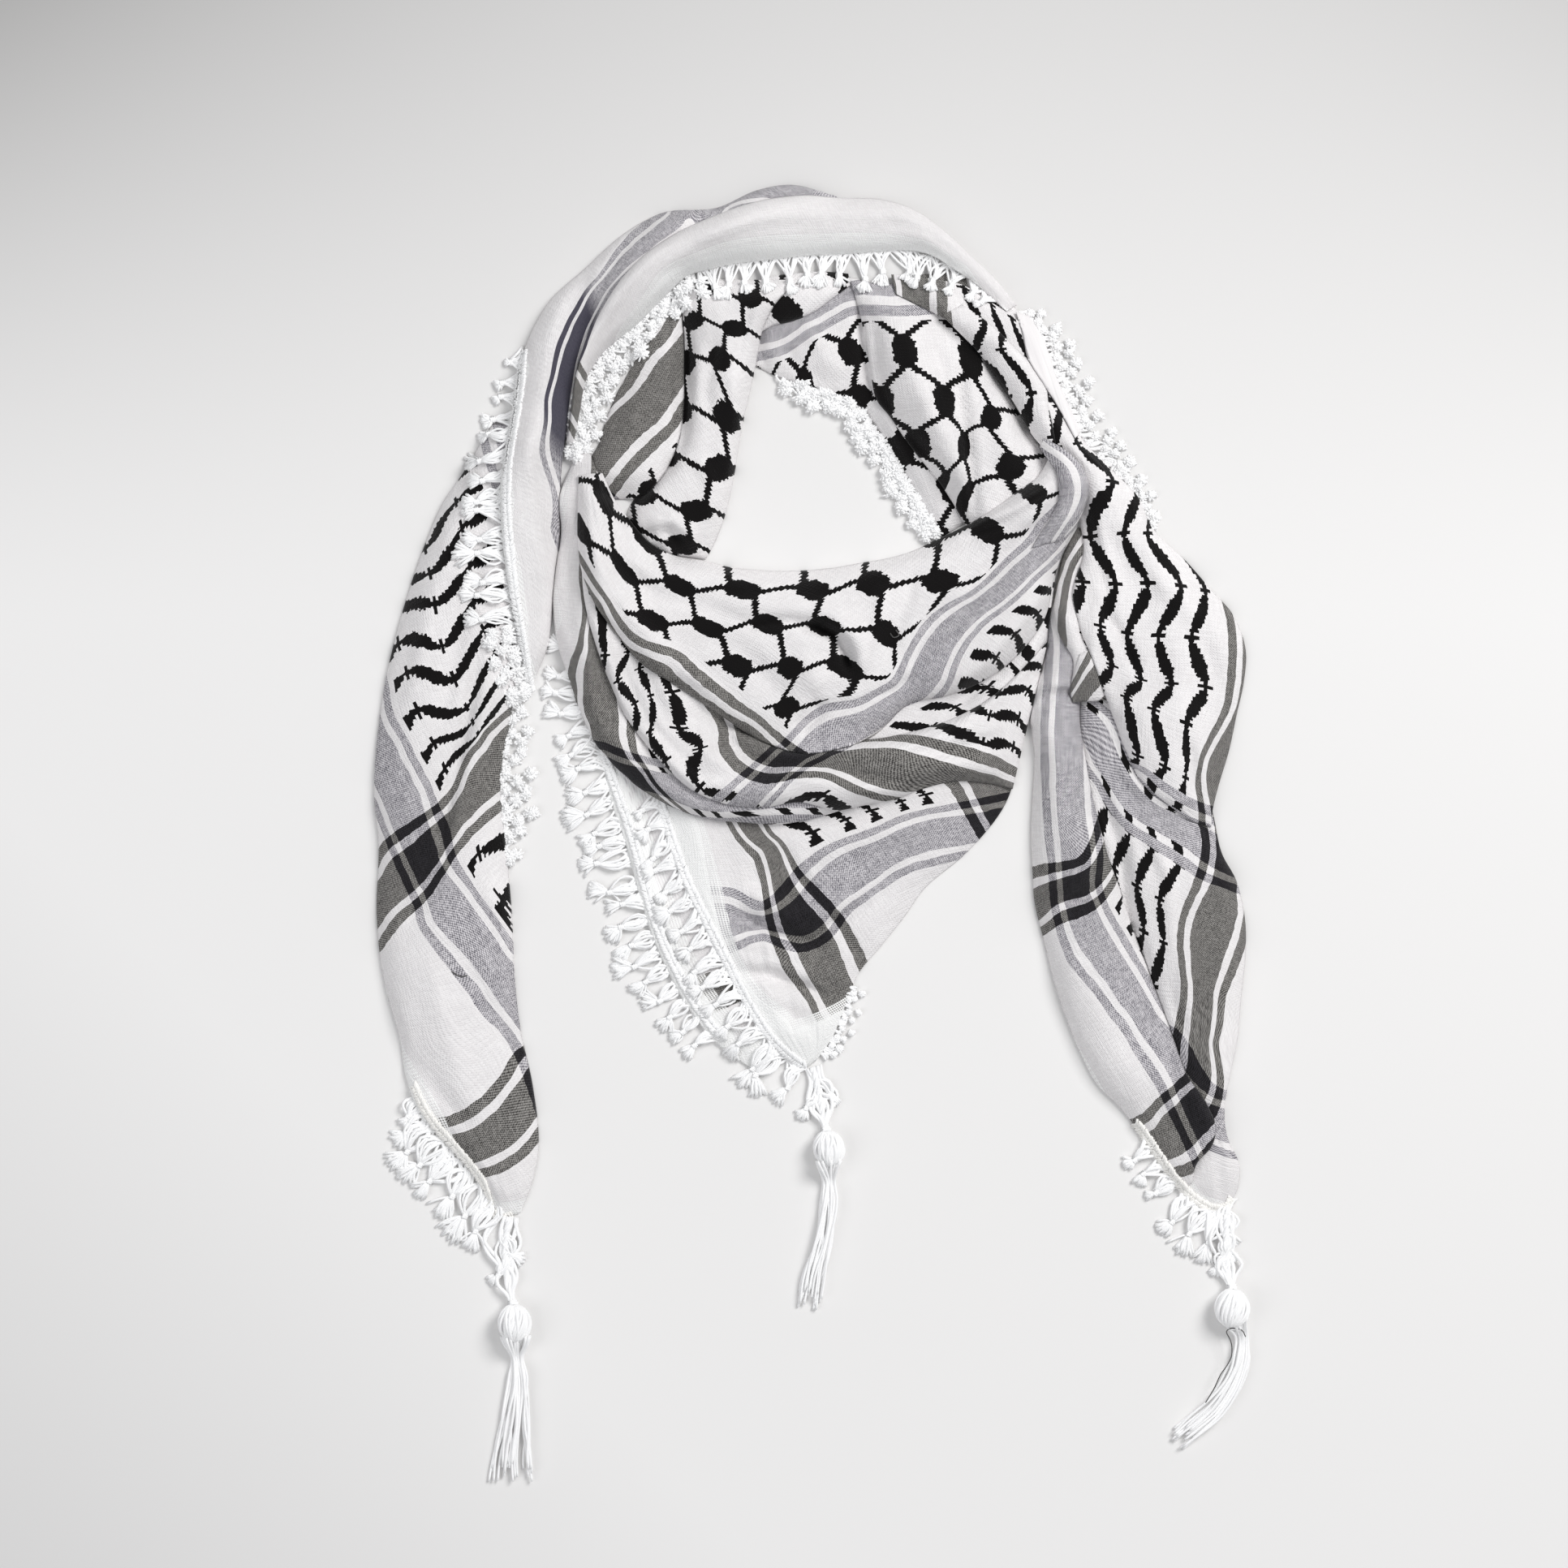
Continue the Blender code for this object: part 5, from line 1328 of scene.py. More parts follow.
def lay_cloth(name, seed):
    """Builds one stretch as a thin shell on what was laid before it."""
    x, y, crown = plan(CLOTH[name], CELL)
    under = ground_at(x, y)
    z = laid_height(name, seed, x, y, crown, under)
    p, q = thread_places(name, x, y)
    hem = np.clip((HEM_WIDE - np.minimum(p, q)) * 4, 0, 1)
    z = np.maximum(z + HEM_RISE * hem, under + CLEAR)
    lay_on_ground(x, y, z)
    places = np.stack([x, y, z])
    across = np.linalg.norm(np.diff(places, axis=2), axis=0).sum(1).max()
    along = np.linalg.norm(np.diff(places, axis=1), axis=0).sum(0).max()
    points = shell_points(x, y, z, under)
    p, q = rimmed(p, p), rimmed(q, q)
    faces = grid_faces(*p.shape)
    piece = new_object(name + "_cloth", points, faces.tolist())
    threads = piece.data.uv_layers.new(name="threads")
    corner = np.empty(len(piece.data.loops), np.int32)
    piece.data.loops.foreach_get("vertex_index", corner)
    places = np.stack([p.ravel(), q.ravel()], 1)[corner] / 100
    threads.data.foreach_set("uv", places.astype(np.float32).ravel())
    cuts[name] = (across * MM, along * MM, area_of(points, faces))
    return piece


print("ready to lay", len(CLOTH), "stretches")

# %% [markdown]
# ## Shader arithmetic
# A node tree is arithmetic drawn as boxes. This small class lets it be written as arithmetic instead: each
# wire holds one socket, and adding or multiplying wires adds the Math node that does it.

# %% A wire that can be calculated with
class Wire:
    def __init__(self, tree, socket):
        self.tree, self.socket = tree, socket

    def node(self, kind, settings=None, inputs=None, out=0):
        """Adds a node: its settings first, then the values or wires of its sockets."""
        made = self.tree.nodes.new(kind)
        for key, value in (settings or {}).items():
            setattr(made, key, value)
        for key, value in (inputs or {}).items():
            if isinstance(value, Wire):
                self.tree.links.new(value.socket, made.inputs[key])
            else:
                made.inputs[key].default_value = value
        return Wire(self.tree, made.outputs[out] if len(made.outputs) else None)

    def math(self, operation, *values):
        return self.node("ShaderNodeMath", {"operation": operation}, dict(enumerate(values)))

    def __add__(self, other): return self.math("ADD", self, other)
    def __radd__(self, other): return self.math("ADD", other, self)
    def __sub__(self, other): return self.math("SUBTRACT", self, other)
    def __rsub__(self, other): return self.math("SUBTRACT", other, self)
    def __mul__(self, other): return self.math("MULTIPLY", self, other)
    def __rmul__(self, other): return self.math("MULTIPLY", other, self)
    def __truediv__(self, other): return self.math("DIVIDE", self, other)
    def __gt__(self, other): return self.math("GREATER_THAN", self, other)
    def __lt__(self, other): return self.math("LESS_THAN", self, other)
    def __or__(self, other): return self.math("MAXIMUM", self, other)
    def __and__(self, other): return self.math("MINIMUM", self, other)
    def __pow__(self, other): return self.math("POWER", self, other)
    def __abs__(self): return self.math("ABSOLUTE", self)
    def __floor__(self): return self.math("FLOOR", self)
    def __round__(self): return self.math("ROUND", self)

    def sine(self): return self.math("SINE", self)
    def between(self, low, high): return (self > low) & (self < high)
    def snapped(self, step): return (math.floor(self / step) + 0.5) * step

    def limited(self):
        return self.node("ShaderNodeClamp", {}, {"Value": self, "Min": 0.0, "Max": 1.0})

    def parts(self, kind="ShaderNodeSeparateXYZ"):
        """The first two parts of a vector or a colour."""
        found = self.node(kind, {}, {0: self}).socket.node.outputs
        return Wire(self.tree, found[0]), Wire(self.tree, found[1])

    def pair(self, first, second):
        """A vector of two wires."""
        return self.node("ShaderNodeCombineXYZ", {}, {0: first, 1: second})

    def noise(self, scale, detail, out=0):
        """A cloudy noise over this vector."""
        return self.node("ShaderNodeTexNoise", {}, {"Vector": self, "Scale": scale, "Detail": detail}, out)

    def speckle(self, first, second):
        """A random value for each pair of whole numbers."""
        cell = self.pair(math.floor(first), math.floor(second))
        return self.node("ShaderNodeTexWhiteNoise", {"noise_dimensions": "2D"}, {"Vector": cell})


print("operations of a wire:", len(vars(Wire)))


# %% Colours and materials
def mixed(share, under, over):
    """The colour over on the colour under, by share."""
    return share.node("ShaderNodeMix", {"data_type": "RGBA"}, {0: share, 6: under, 7: over}, out=2)


def light(v):
    """A screen value from 0 to 255, as light."""
    v /= 255
    return v / 12.92 if v <= 0.04045 else ((v + 0.055) / 1.055) ** 2.4


def colour(red, green, blue):
    """A colour by its screen values."""
    return (light(red), light(green), light(blue), 1.0)


def new_material(name, see):
    """An empty material, and a wire to start from."""
    material = bpy.data.materials.new(name)
    material.use_nodes = True
    material.diffuse_color = see
    material.node_tree.nodes.clear()
    return material, Wire(material.node_tree, None)


def finish_material(material, start, **inputs):
    """The main shader with its inputs, joined to the output."""
    tidy = {key.replace("_", " ").title().replace("Ior", "IOR"): value for key, value in inputs.items()}
    shader = start.node("ShaderNodeBsdfPrincipled", {}, tidy)
    start.node("ShaderNodeOutputMaterial", {}, {"Surface": shader})
    return material


print("middle grey as light:", round(light(128), 3))

# %% [markdown]
# ## The woven cotton
# White ground, grey warp bands along one pair of hems, blue-grey bands along the other, wavy embroidered
# chains between the bands and a net of knots in the middle: all are short sums on p and q.

# %% Stripe bands
# Where the narrow, wide and narrow stripes of a band begin and end, and where bands start, in centimetres.
BAND_STEPS = ((0.0, 0.65), (1.15, 3.6), (4.15, 4.8))
DARK_STARTS, BLUE_STARTS = (3.7, 18.5), (5.6, 20.4)


def bands(along, starts):
    """1 inside the narrow, wide and narrow stripes that start at each of these places."""
    found = None
    for start in starts:
        for low, high in BAND_STEPS:
            stripe = along.between(start + low, start + high)
            found = stripe if found is None else found | stripe
    return found


print(len(DARK_STARTS), "dark bands and", len(BLUE_STARTS), "blue bands")

# %% [markdown]
# The chains run along q, 1.75 cm apart. Each link is a lens leaning one way and then the other, with a short
# tick at every turn. The outlines go in steps, because a shuttle can only cover whole threads.

# %% Wavy chains
CHAIN_START, CHAIN_APART = 10.1, 1.75
LINK, FIRST_TURN, LINK_STEP = 2.87, 26.2, 1 / 10
LEAN = 0.42
TIP_HALF, BELLY_HALF, BELLY_POWER = 0.08, 0.29, 0.9
TICK_THIN, TICK_LONG, TICK_REACH = 0.11, 0.8, 0.4
STITCH_P, CHAIN_STITCH, CHAIN_JAG = 0.9, 0.18, 0.12
CHAINS_SIDE, CHAINS_SIDE_Q = (9.3, 17.95), 10.8
CHAINS_END, CHAINS_END_P = (10.8, 19.8), 23.6


def stitch_jag(p, q, size):
    """How far each stitch strays from the drawn edge, -0.5 to 0.5."""
    return p.speckle(p / STITCH_P, q / size) - 0.5


def chains(p, q):
    """1 on the embroidered chains."""
    lane = p - CHAIN_START
    off = lane - round(lane / CHAIN_APART) * CHAIN_APART
    turn = (q - FIRST_TURN) / LINK
    count = math.floor(turn)
    part = turn - count
    step = part.snapped(LINK_STEP)
    side = 1 - 2 * (count - math.floor(count / 2) * 2)
    belly = (step * math.pi).sine().limited() ** BELLY_POWER
    half = TIP_HALF + BELLY_HALF * belly + stitch_jag(p, q, CHAIN_STITCH) * CHAIN_JAG
    lens = abs(off - (2 * step - 1) * side * LEAN) < half
    near_turn = abs(part - round(part)) * LINK
    beside = abs(off - (2 * part - 1) * side * LEAN) < TICK_REACH
    tick = (near_turn < TICK_THIN) & (abs(off) < TICK_LONG) & beside
    first = p.between(*CHAINS_SIDE) & (q > CHAINS_SIDE_Q)
    second = q.between(*CHAINS_END) & (p > CHAINS_END_P)
    return (lens | tick) & (first | second)


print("links are", LINK, "cm long")

# %% [markdown]
# In the middle, stepped knots stand 3.9 cm apart in rows, each row half a step on, and two stepped lines
# leave each end of a knot for the knots of the next row.

# %% Net of knots
NET_STITCH = 0.14
KNOT_TALL, KNOT_WIDE, KNOT_CORNER, KNOT_SLOPE = 0.92, 0.74, 1.12, 0.75
LINE_STEP, LINE_HALF = 1 / 17, 0.31
LINE_ENDS, LINE_SLANT_START, LINE_SLANT = (0.22, 0.78), 0.26, 0.48
NET_FROM_P, NET_FROM_Q = 23.9, 25.5


def net(p, q):
    """1 on the knots and on the lines between them."""
    column = (p - NET_P[0]) / NET_P[1]
    row = (q - NET_Q[0]) / NET_Q[1]

    def from_knot(number):
        lane = (column - number) / 2
        return abs(lane - round(lane)) * (2 * NET_P[1])

    nearest, below = round(row), math.floor(row)
    up = (abs(row - nearest) * NET_Q[1]).snapped(NET_STITCH)
    jag = stitch_jag(p, q, NET_STITCH) * NET_STITCH
    side = from_knot(nearest) + jag
    knot = (up < KNOT_TALL) & (side < KNOT_WIDE) & (side + up * KNOT_SLOPE < KNOT_CORNER)
    part = row - below
    slant = ((part.snapped(LINE_STEP) - LINE_SLANT_START) / LINE_SLANT).limited()
    line = abs(from_knot(below) + jag - NET_P[1] * slant) < LINE_HALF
    line = line & part.between(*LINE_ENDS)
    return (knot | line) & (p > NET_FROM_P) & (q > NET_FROM_Q)


print("knots are", 2 * NET_P[1], "cm apart")

# %% [markdown]
# At one place the cloth lies in two layers and in shade, and there the blue band is painted deeper: partly the band
# beneath showing through, partly painted shade. That spot is an ellipse in plan.

# %% The spot of two layers and painted shade
# Its middle and half size, in metres.
TWOFOLD_SHADE_X, TWOFOLD_SHADE_Y, TWOFOLD_SHADE_WIDE, TWOFOLD_SHADE_TALL = -0.1385, 0.267, 0.022, 0.062


def twofold_shade(start):
    """1 in the middle of the spot where the cloth lies in two layers and shade is painted on it, fading to 0 at its
    edge.
    """
    x, y = start.node("ShaderNodeTexCoord", out="Object").parts()
    across, along = (x - TWOFOLD_SHADE_X) / TWOFOLD_SHADE_WIDE, (y - TWOFOLD_SHADE_Y) / TWOFOLD_SHADE_TALL
    return ((1 - across * across - along * along) * 2).limited()


print("twofold spot in mm:", round(2 * TWOFOLD_SHADE_WIDE / MM), "by", round(2 * TWOFOLD_SHADE_TALL / MM))

# %% [markdown]
# Seen close, each band is a mixture of dark and white threads, so it is drawn as dots where one dips under
# the other, with streaks along the threads that vary in thickness.

# %% Threads of the cloth
THREAD = 0.15
WANDER_SCALE, WANDER = 160.0, 0.16
UNEVEN_SCALE, UNEVEN = 500.0, 2.6
STREAK_LONG, STREAK_THIN, STREAK_CONTRAST = 1.1, 9, 2.4
DOT_CONTRAST, DOT_LEVEL, DOT_GRAIN = 1.1, 0.15, 0.6


def wandered(place, raw_p, raw_q):
    """p and q with a small drift, because no thread lies quite straight."""
    drift_p, drift_q = place.noise(WANDER_SCALE, 1.0, "Color").parts("ShaderNodeSeparateColor")
    return raw_p + (drift_p - 0.5) * WANDER, raw_q + (drift_q - 0.5) * WANDER


def woven(place, raw_p, raw_q):
    """The weave's waves from -1 to 1, where it shows white dots, and the streaks along its threads."""
    uneven = place.noise(UNEVEN_SCALE, 1.0) * UNEVEN
    per_thread = 2 * math.pi / THREAD
    weave = (raw_p * per_thread + uneven).sine() * (raw_q * per_thread - uneven).sine()
    warp = place.pair(raw_p * STREAK_LONG, raw_q * STREAK_THIN).noise(1.0, 1.0)
    weft = place.pair(raw_p * STREAK_THIN, raw_q * STREAK_LONG).noise(1.0, 1.0)
    streaks = ((warp + weft - 1) * STREAK_CONTRAST + 0.5).limited()
    grain = place.speckle(raw_p / THREAD * 2, raw_q / THREAD * 2)
    dots = (weave * DOT_CONTRAST + DOT_LEVEL + grain * DOT_GRAIN).limited()
    return weave, dots, streaks


print("threads per centimetre:", round(2 / THREAD))

# %% The cloth's colours
WHITE, WHITE_DEEP = colour(244, 242, 242), colour(216, 212, 213)
DARK_BAND, DARK_PALE = colour(28, 26, 25), colour(184, 181, 177)
BLUE_BAND, BLUE_PALE, BLUE_TWOFOLD_SHADE = colour(90, 88, 97), colour(229, 226, 229), colour(72, 70, 84)
CROSSING, CROSSING_PALE = colour(15, 14, 15), colour(70, 68, 73)
THREAD_BLACK, HEM_WHITE = colour(15, 13, 13), colour(250, 250, 249)


def band_colours(place, start, dark, blue, dots, streaks):
    """The colour of the ground and of the bands, each lightened by its dots and streaks."""
    white = mixed(place.noise(45.0, 4.0) * 0.35 + streaks * 0.28, WHITE, WHITE_DEEP)
    grey = mixed(dots * 0.62 + streaks * 0.16, DARK_BAND, DARK_PALE)
    pale = mixed(dots * 0.72 + streaks * 0.3, BLUE_BAND, BLUE_PALE)
    # Painted shade: in the spot of two layers the blue band is darkened, partly for the band beneath showing through,
    # partly for the shade that lies there.
    pale = mixed(1.0 - twofold_shade(start), mixed(dots * 0.9, BLUE_TWOFOLD_SHADE, BLUE_BAND), pale)
    both = mixed(dots * 0.4 + streaks * 0.15, CROSSING, CROSSING_PALE)
    shade = mixed(blue * (1 - dark), mixed(dark, white, grey), pale)
    return mixed(blue & dark, shade, both)


print("white and black as light:", round(WHITE[0], 2), round(THREAD_BLACK[0], 3))

# %% The cloth's material
# Beside the hem the weft is drawn out, which leaves a white lattice with open eyes.
HEM_END, DRAWN_END = 0.9, 1.5
EYE, EYE_OPEN = 0.3, 0.2
RELIEF = {"weave": 0.35, "streaks": 0.8, "embroidery": 1.6, "lattice": 0.8}


def drawn_lattice(p, q, raw_p, raw_q):
    """1 on the white threads of the lattice."""
    per_eye = 2 * math.pi / EYE
    waves = ((raw_p + raw_q) * per_eye).sine() * ((raw_p - raw_q) * per_eye).sine()
    return (waves < EYE_OPEN) & ((p < DRAWN_END) | (q < DRAWN_END))


def woven_cotton():
    """The cotton of the scarf, with its whole pattern."""
    material, start = new_material("woven_cotton", WHITE)
    place = start.node("ShaderNodeUVMap", {"uv_map": "threads"})
    raw_p, raw_q = (part * 100 for part in place.parts())
    p, q = wandered(place, raw_p, raw_q)
    weave, dots, streaks = woven(place, raw_p, raw_q)
    dark, blue = bands(p, DARK_STARTS), bands(q, BLUE_STARTS)
    embroidery = (chains(p, q) | net(p, q)) & (1 - (dark | blue))
    lattice = drawn_lattice(p, q, raw_p, raw_q)
    shade = mixed(embroidery, band_colours(place, start, dark, blue, dots, streaks), THREAD_BLACK)
    shade = mixed(lattice | (p < HEM_END) | (q < HEM_END), shade, HEM_WHITE)
    relief = (weave * RELIEF["weave"] + streaks * RELIEF["streaks"] + embroidery * RELIEF["embroidery"]
              + lattice * RELIEF["lattice"])
    bump = start.node("ShaderNodeBump", {}, {"Height": relief, "Strength": 0.6, "Distance": 0.0005})
    return finish_material(material, start, base_color=shade, roughness=0.92 - 0.1 * embroidery,
                           normal=bump, sheen_weight=0.1, sheen_roughness=0.5, specular_ior_level=0.1)


cotton = woven_cotton()
print("cotton nodes:", len(cotton.node_tree.nodes))

# %% [markdown]
# ## The thread of the fringe
# Soft bleached cotton yarn, a little brighter than the cloth, with a fine fuzzy grain. Light passes through
# bleached thread, so its shaded side is never as dark as solid stuff would be: a faint glow stands for that.

# %% The thread's material
THROUGH = 0.07
CLOUDY, FIBRE = 60.0, 1500.0


def cotton_yarn(name, ground_colour, deep_colour):
    """Plied cotton yarn."""
    material, start = new_material(name, ground_colour)
    place = start.node("ShaderNodeTexCoord", out="Object")
    fibre = place.noise(FIBRE, 3.0)
    shade = mixed(place.noise(CLOUDY, 3.0) * 0.4 + fibre * 0.4, ground_colour, deep_colour)
    bump = start.node("ShaderNodeBump", {}, {"Height": fibre, "Strength": 0.5, "Distance": 0.0004})
    return finish_material(material, start, base_color=shade, roughness=0.85 + fibre * 0.1, normal=bump,
                           sheen_weight=0.7, sheen_roughness=0.6, emission_color=shade,
                           emission_strength=THROUGH)


yarn = cotton_yarn("cotton_thread", colour(254, 254, 254), colour(240, 240, 241))
cream = cotton_yarn("cream_thread", colour(253, 252, 249), colour(243, 240, 235))
dark_thread = cotton_yarn("dark_thread", THREAD_BLACK, colour(58, 52, 50))
print("yarn nodes:", len(yarn.node_tree.nodes))

# %% [markdown]
# ## Threads as fine tubes
# Every string of the fringe is a real tube, four to eight sides round, so it still reads as thread up close.
# They are swept in numbers, because thousands of separate curves would be slow.

# %% Sweep threads
rng = np.random.default_rng(23)
LOWEST = 0.05


class Bundle:
    """Many fine tubes gathered into one mesh."""

    def __init__(self):
        self.points, self.faces, self.count = [], [], 0

    def tube(self, path, radius, sides=4):
        """Adds a tube along a path in millimetres, its radius one number or one for each point."""
        path = np.asarray(path, float)
        n = len(path)
        radius = np.broadcast_to(np.asarray(radius, float), (n,))
        ahead = np.gradient(path, axis=0)
        ahead /= np.maximum(np.linalg.norm(ahead, axis=1, keepdims=True), 1e-9)
        up = np.where(np.abs(ahead[:, 2:3]) > 0.9, (1.0, 0, 0), (0, 0, 1.0))
        side = np.cross(ahead, up)
        side /= np.linalg.norm(side, axis=1, keepdims=True)
        over = np.cross(side, ahead)
        turn = np.arange(sides) * 2 * math.pi / sides
        ring = side[:, None] * np.cos(turn)[None, :, None] + over[:, None] * np.sin(turn)[None, :, None]
        self.points.append((path[:, None] + ring * radius[:, None, None]).reshape(-1, 3))
        index = self.count + np.arange(n * sides).reshape(n, sides)
        after = np.roll(index, -1, 1)
        wall = np.stack([index[:-1], after[:-1], after[1:], index[1:]], -1).reshape(-1, 4)
        self.faces += wall.tolist() + [index[0, ::-1].tolist(), index[-1].tolist()]
        self.count += n * sides

    def object(self, name):
        points = np.concatenate(self.points)
        points[:, 2] = np.maximum(points[:, 2], LOWEST)
        return new_object(name, points, self.faces)


print("threads ready")

# %% [markdown]
# ## The knotted fringe
# Two bundles of warp ends lean together, are tied in a hard little knot, and end in a cut brush. Where the
# fringe lies free it fans out, and where it is rubbed it turns fluffy.

# %% A string and a knot
STRING = 0.72
TURNS, TURN_POINTS, KNOT_LONG = 3, 28, 0.75
KNOT_LOW, KNOT_ROUND, KNOT_PITCH, KNOT_YARN = 0.85, 0.75, 1.2, 0.5


def on_ground(flat, lift):
    """Places in plan with their height: what lies under them, and a lift."""
    return np.c_[flat, ground_at(flat[:, 0], flat[:, 1]) + lift]


def sideways(way):
    """The way in plan at a right angle to another."""
    return np.array([-way[1], way[0]])


def bent(start, end, bow, lift_start, lift_end, count, arch):
    """A path in plan from start to end, bowed sideways, resting on what lies under it."""
    t = np.linspace(0, 1, count)[:, None]
    way = end - start
    flat = start + way * t + sideways(way) * bow * np.sin(math.pi * t)
    return on_ground(flat, lift_start + (lift_end - lift_start) * t[:, 0] + arch * np.sin(math.pi * t[:, 0]))


def knot_of(bundle, centre, way, size):
    """A tight wrap of three turns round the bundle."""
    turns = np.linspace(0, 2 * math.pi * TURNS, TURN_POINTS)
    ahead = np.linspace(-KNOT_LONG, KNOT_LONG, TURN_POINTS)
    ring = np.outer(np.cos(turns), (*sideways(way), 0)) + np.outer(np.sin(turns), (0, 0, KNOT_LOW))
    round_off = np.sqrt(1 - (ahead * KNOT_ROUND) ** 2)
    path = centre + ring * (size * round_off)[:, None] + np.outer(ahead * size * KNOT_PITCH, (*way, 0))
    bundle.tube(path, size * KNOT_YARN, 5)


print("a string is", 2 * STRING, "mm thick")

# %% A tied unit
LEG = STRING * np.array([0.8, 0.92, 0.95, 0.92, 0.9, 0.85, 0.75])
BRUSH = STRING * np.linspace(0.7, 0.85, 5)
LEG_STRANDS, STRAND_APART, BRUSH_STRANDS = 7, 1.15, 24
TIED, KNOT_SIZE, KNOT_HEIGHT, ROOT_IN = 0.66, 1.55, 1.9, 1.5
SPLAY, SPLAY_LIMIT, DROOP = 0.36, 0.75, 0.28


def toward(middle, reach):
    """The way from middle to reach, and how far it is."""
    way = reach - middle
    length = np.linalg.norm(way)
    return way / length, length


def fringe_unit(bundle, left, right, reach, plump=1.0):
    """Two legs from the hem, the knot, and the brush. A plump unit is thicker and curlier."""
    middle = (left + right) / 2
    way, length = toward(middle, reach)
    side = sideways(way)
    tied = TIED + rng.uniform(-0.08, 0.06)
    knot = middle + way * length * tied + side * rng.normal(0, 1.9 * plump)
    for root, lean in ((left, 1), (right, -1)):
        for strand in range(LEG_STRANDS):
            spread = side * ((strand - LEG_STRANDS // 2) * STRAND_APART / plump + rng.normal(0, 0.4))
            bow = lean * rng.uniform(-0.02, 0.26) * plump ** 2 + rng.normal(0, 0.03)
            path = bent(root + spread - way * ROOT_IN, knot + side * rng.normal(0, 0.6), bow,
                        rng.uniform(0.5, 1.1), rng.uniform(1.2, 2.4), len(LEG), rng.uniform(0.1, 2.4) * plump)
            bundle.tube(path, LEG * plump, 5)
    z = float(ground_at(knot[0:1], knot[1:2])[0])
    knot_of(bundle, np.array([*knot, z + KNOT_HEIGHT]), way, KNOT_SIZE)
    brush, droop = length * (1 - tied), rng.normal(0, DROOP)
    for _ in range(BRUSH_STRANDS):
        lean = droop + float(np.clip(rng.normal(0, SPLAY), -SPLAY_LIMIT, SPLAY_LIMIT))
        turn = way * math.cos(lean) + side * math.sin(lean)
        end = knot + turn * (brush + 1.0) * rng.uniform(0.82, 1.08)
        path = bent(knot, end, rng.normal(0, 0.07), 1.8, rng.uniform(0.3, 1.8), len(BRUSH),
                    rng.uniform(0, 1.6))
        bundle.tube(path, BRUSH * plump)


print("strings in a tied unit:", 2 * LEG_STRANDS, "and", BRUSH_STRANDS)

# %% A worn unit
ENDS = STRING * np.array([0.75, 0.9, 0.95, 0.8])
TUFT_STRANDS, TUFT_HEIGHT, TUFT_FLAT, TUFT_SAG = 46, 1.6, 0.85, 0.7
CORE_HALF, CORE_ROUND = 0.55, 0.34
# Where the four tufts of a unit sit: a share of its width, and a share of its reach.
TUFTS = ((-0.3, 0.22), (0.25, 0.3), (-0.2, 0.62), (0.3, 0.82))


def tuft(bundle, centre, size):
    """A worn brush: short soft ends standing out all round, as in a burst seed head."""
    z = float(ground_at(centre[0:1], centre[1:2])[0]) + TUFT_HEIGHT
    core = np.linspace(-CORE_HALF, CORE_HALF, 5)
    bundle.tube(np.c_[centre[0] + core * size, np.full(5, centre[1]), np.full(5, z)],
                size * np.sqrt(CORE_ROUND - core ** 2), 8)
    for _ in range(TUFT_STRANDS):
        turn, rise = rng.uniform(0, 2 * math.pi), rng.uniform(0.0, 1.5)
        flat = np.array([math.cos(turn), math.sin(turn)]) * math.cos(rise)
        t = np.linspace(0.3, 1, 4)[:, None]
        curl = sideways(flat) * rng.normal(0, 0.3)
        plan_path = centre + (flat * t + curl * t ** 2) * size * rng.uniform(0.85, 1.12)
        height = z + t[:, 0] * math.sin(rise) * size * TUFT_FLAT - t[:, 0] ** 2 * TUFT_SAG
        bundle.tube(np.c_[plan_path, height], ENDS)


def worn_unit(bundle, left, right, reach, fullness=1.0):
    """Where it is rubbed, the knots have gone to two rows of soft tufts."""
    middle = (left + right) / 2
    way, length = toward(middle, reach)
    side = sideways(way)
    wide = np.linalg.norm(right - left)
    for root in (left, middle, right):
        for _ in range(3):
            end = root + way * length * rng.uniform(0.3, 0.5) + side * rng.normal(0, 1.2)
            bundle.tube(bent(root - way * ROOT_IN, end, rng.normal(0, 0.2), 0.7, 1.6, 5, 1.0), STRING)
    for share, out in TUFTS:
        spot = middle + side * wide * (share + rng.normal(0, 0.07))
        spot = spot + way * length * (out + rng.normal(0, 0.06))
        tuft(bundle, spot, rng.uniform(4.2, 5.6) * fullness)


print("strings in a tuft:", TUFT_STRANDS)

# %% A run of fringe
UNIT, UNIT_INSET = 11.3, 0.15
PLUMP = {"fringe_tail_left": 1.4, "fringe_tail_right": 1.35, "fringe_bib": 1.25, "fringe_under": 1.2,
         "fringe_roll": 1.15}
FULLNESS = {"fringe_corner": 0.45, "fringe_shoulder": 0.72, "fringe_low_left": 0.9}
RUBBED = ("fringe_shoulder", "fringe_neck", "fringe_corner", "fringe_low_left")
# Two more runs are rubbed over a part only: where x, or y, is less than this.
RUBBED_BELOW = {"fringe_back": (0, -62), "fringe_roll": (1, 125)}
FRINGE_CELL, FRINGE_THICK = 3.0, 2.2


def is_rubbed(name, place):
    """Whether a run of fringe is worn at a place."""
    axis, limit = RUBBED_BELOW.get(name, (0, -math.inf))
    return name in RUBBED or place[axis] < limit


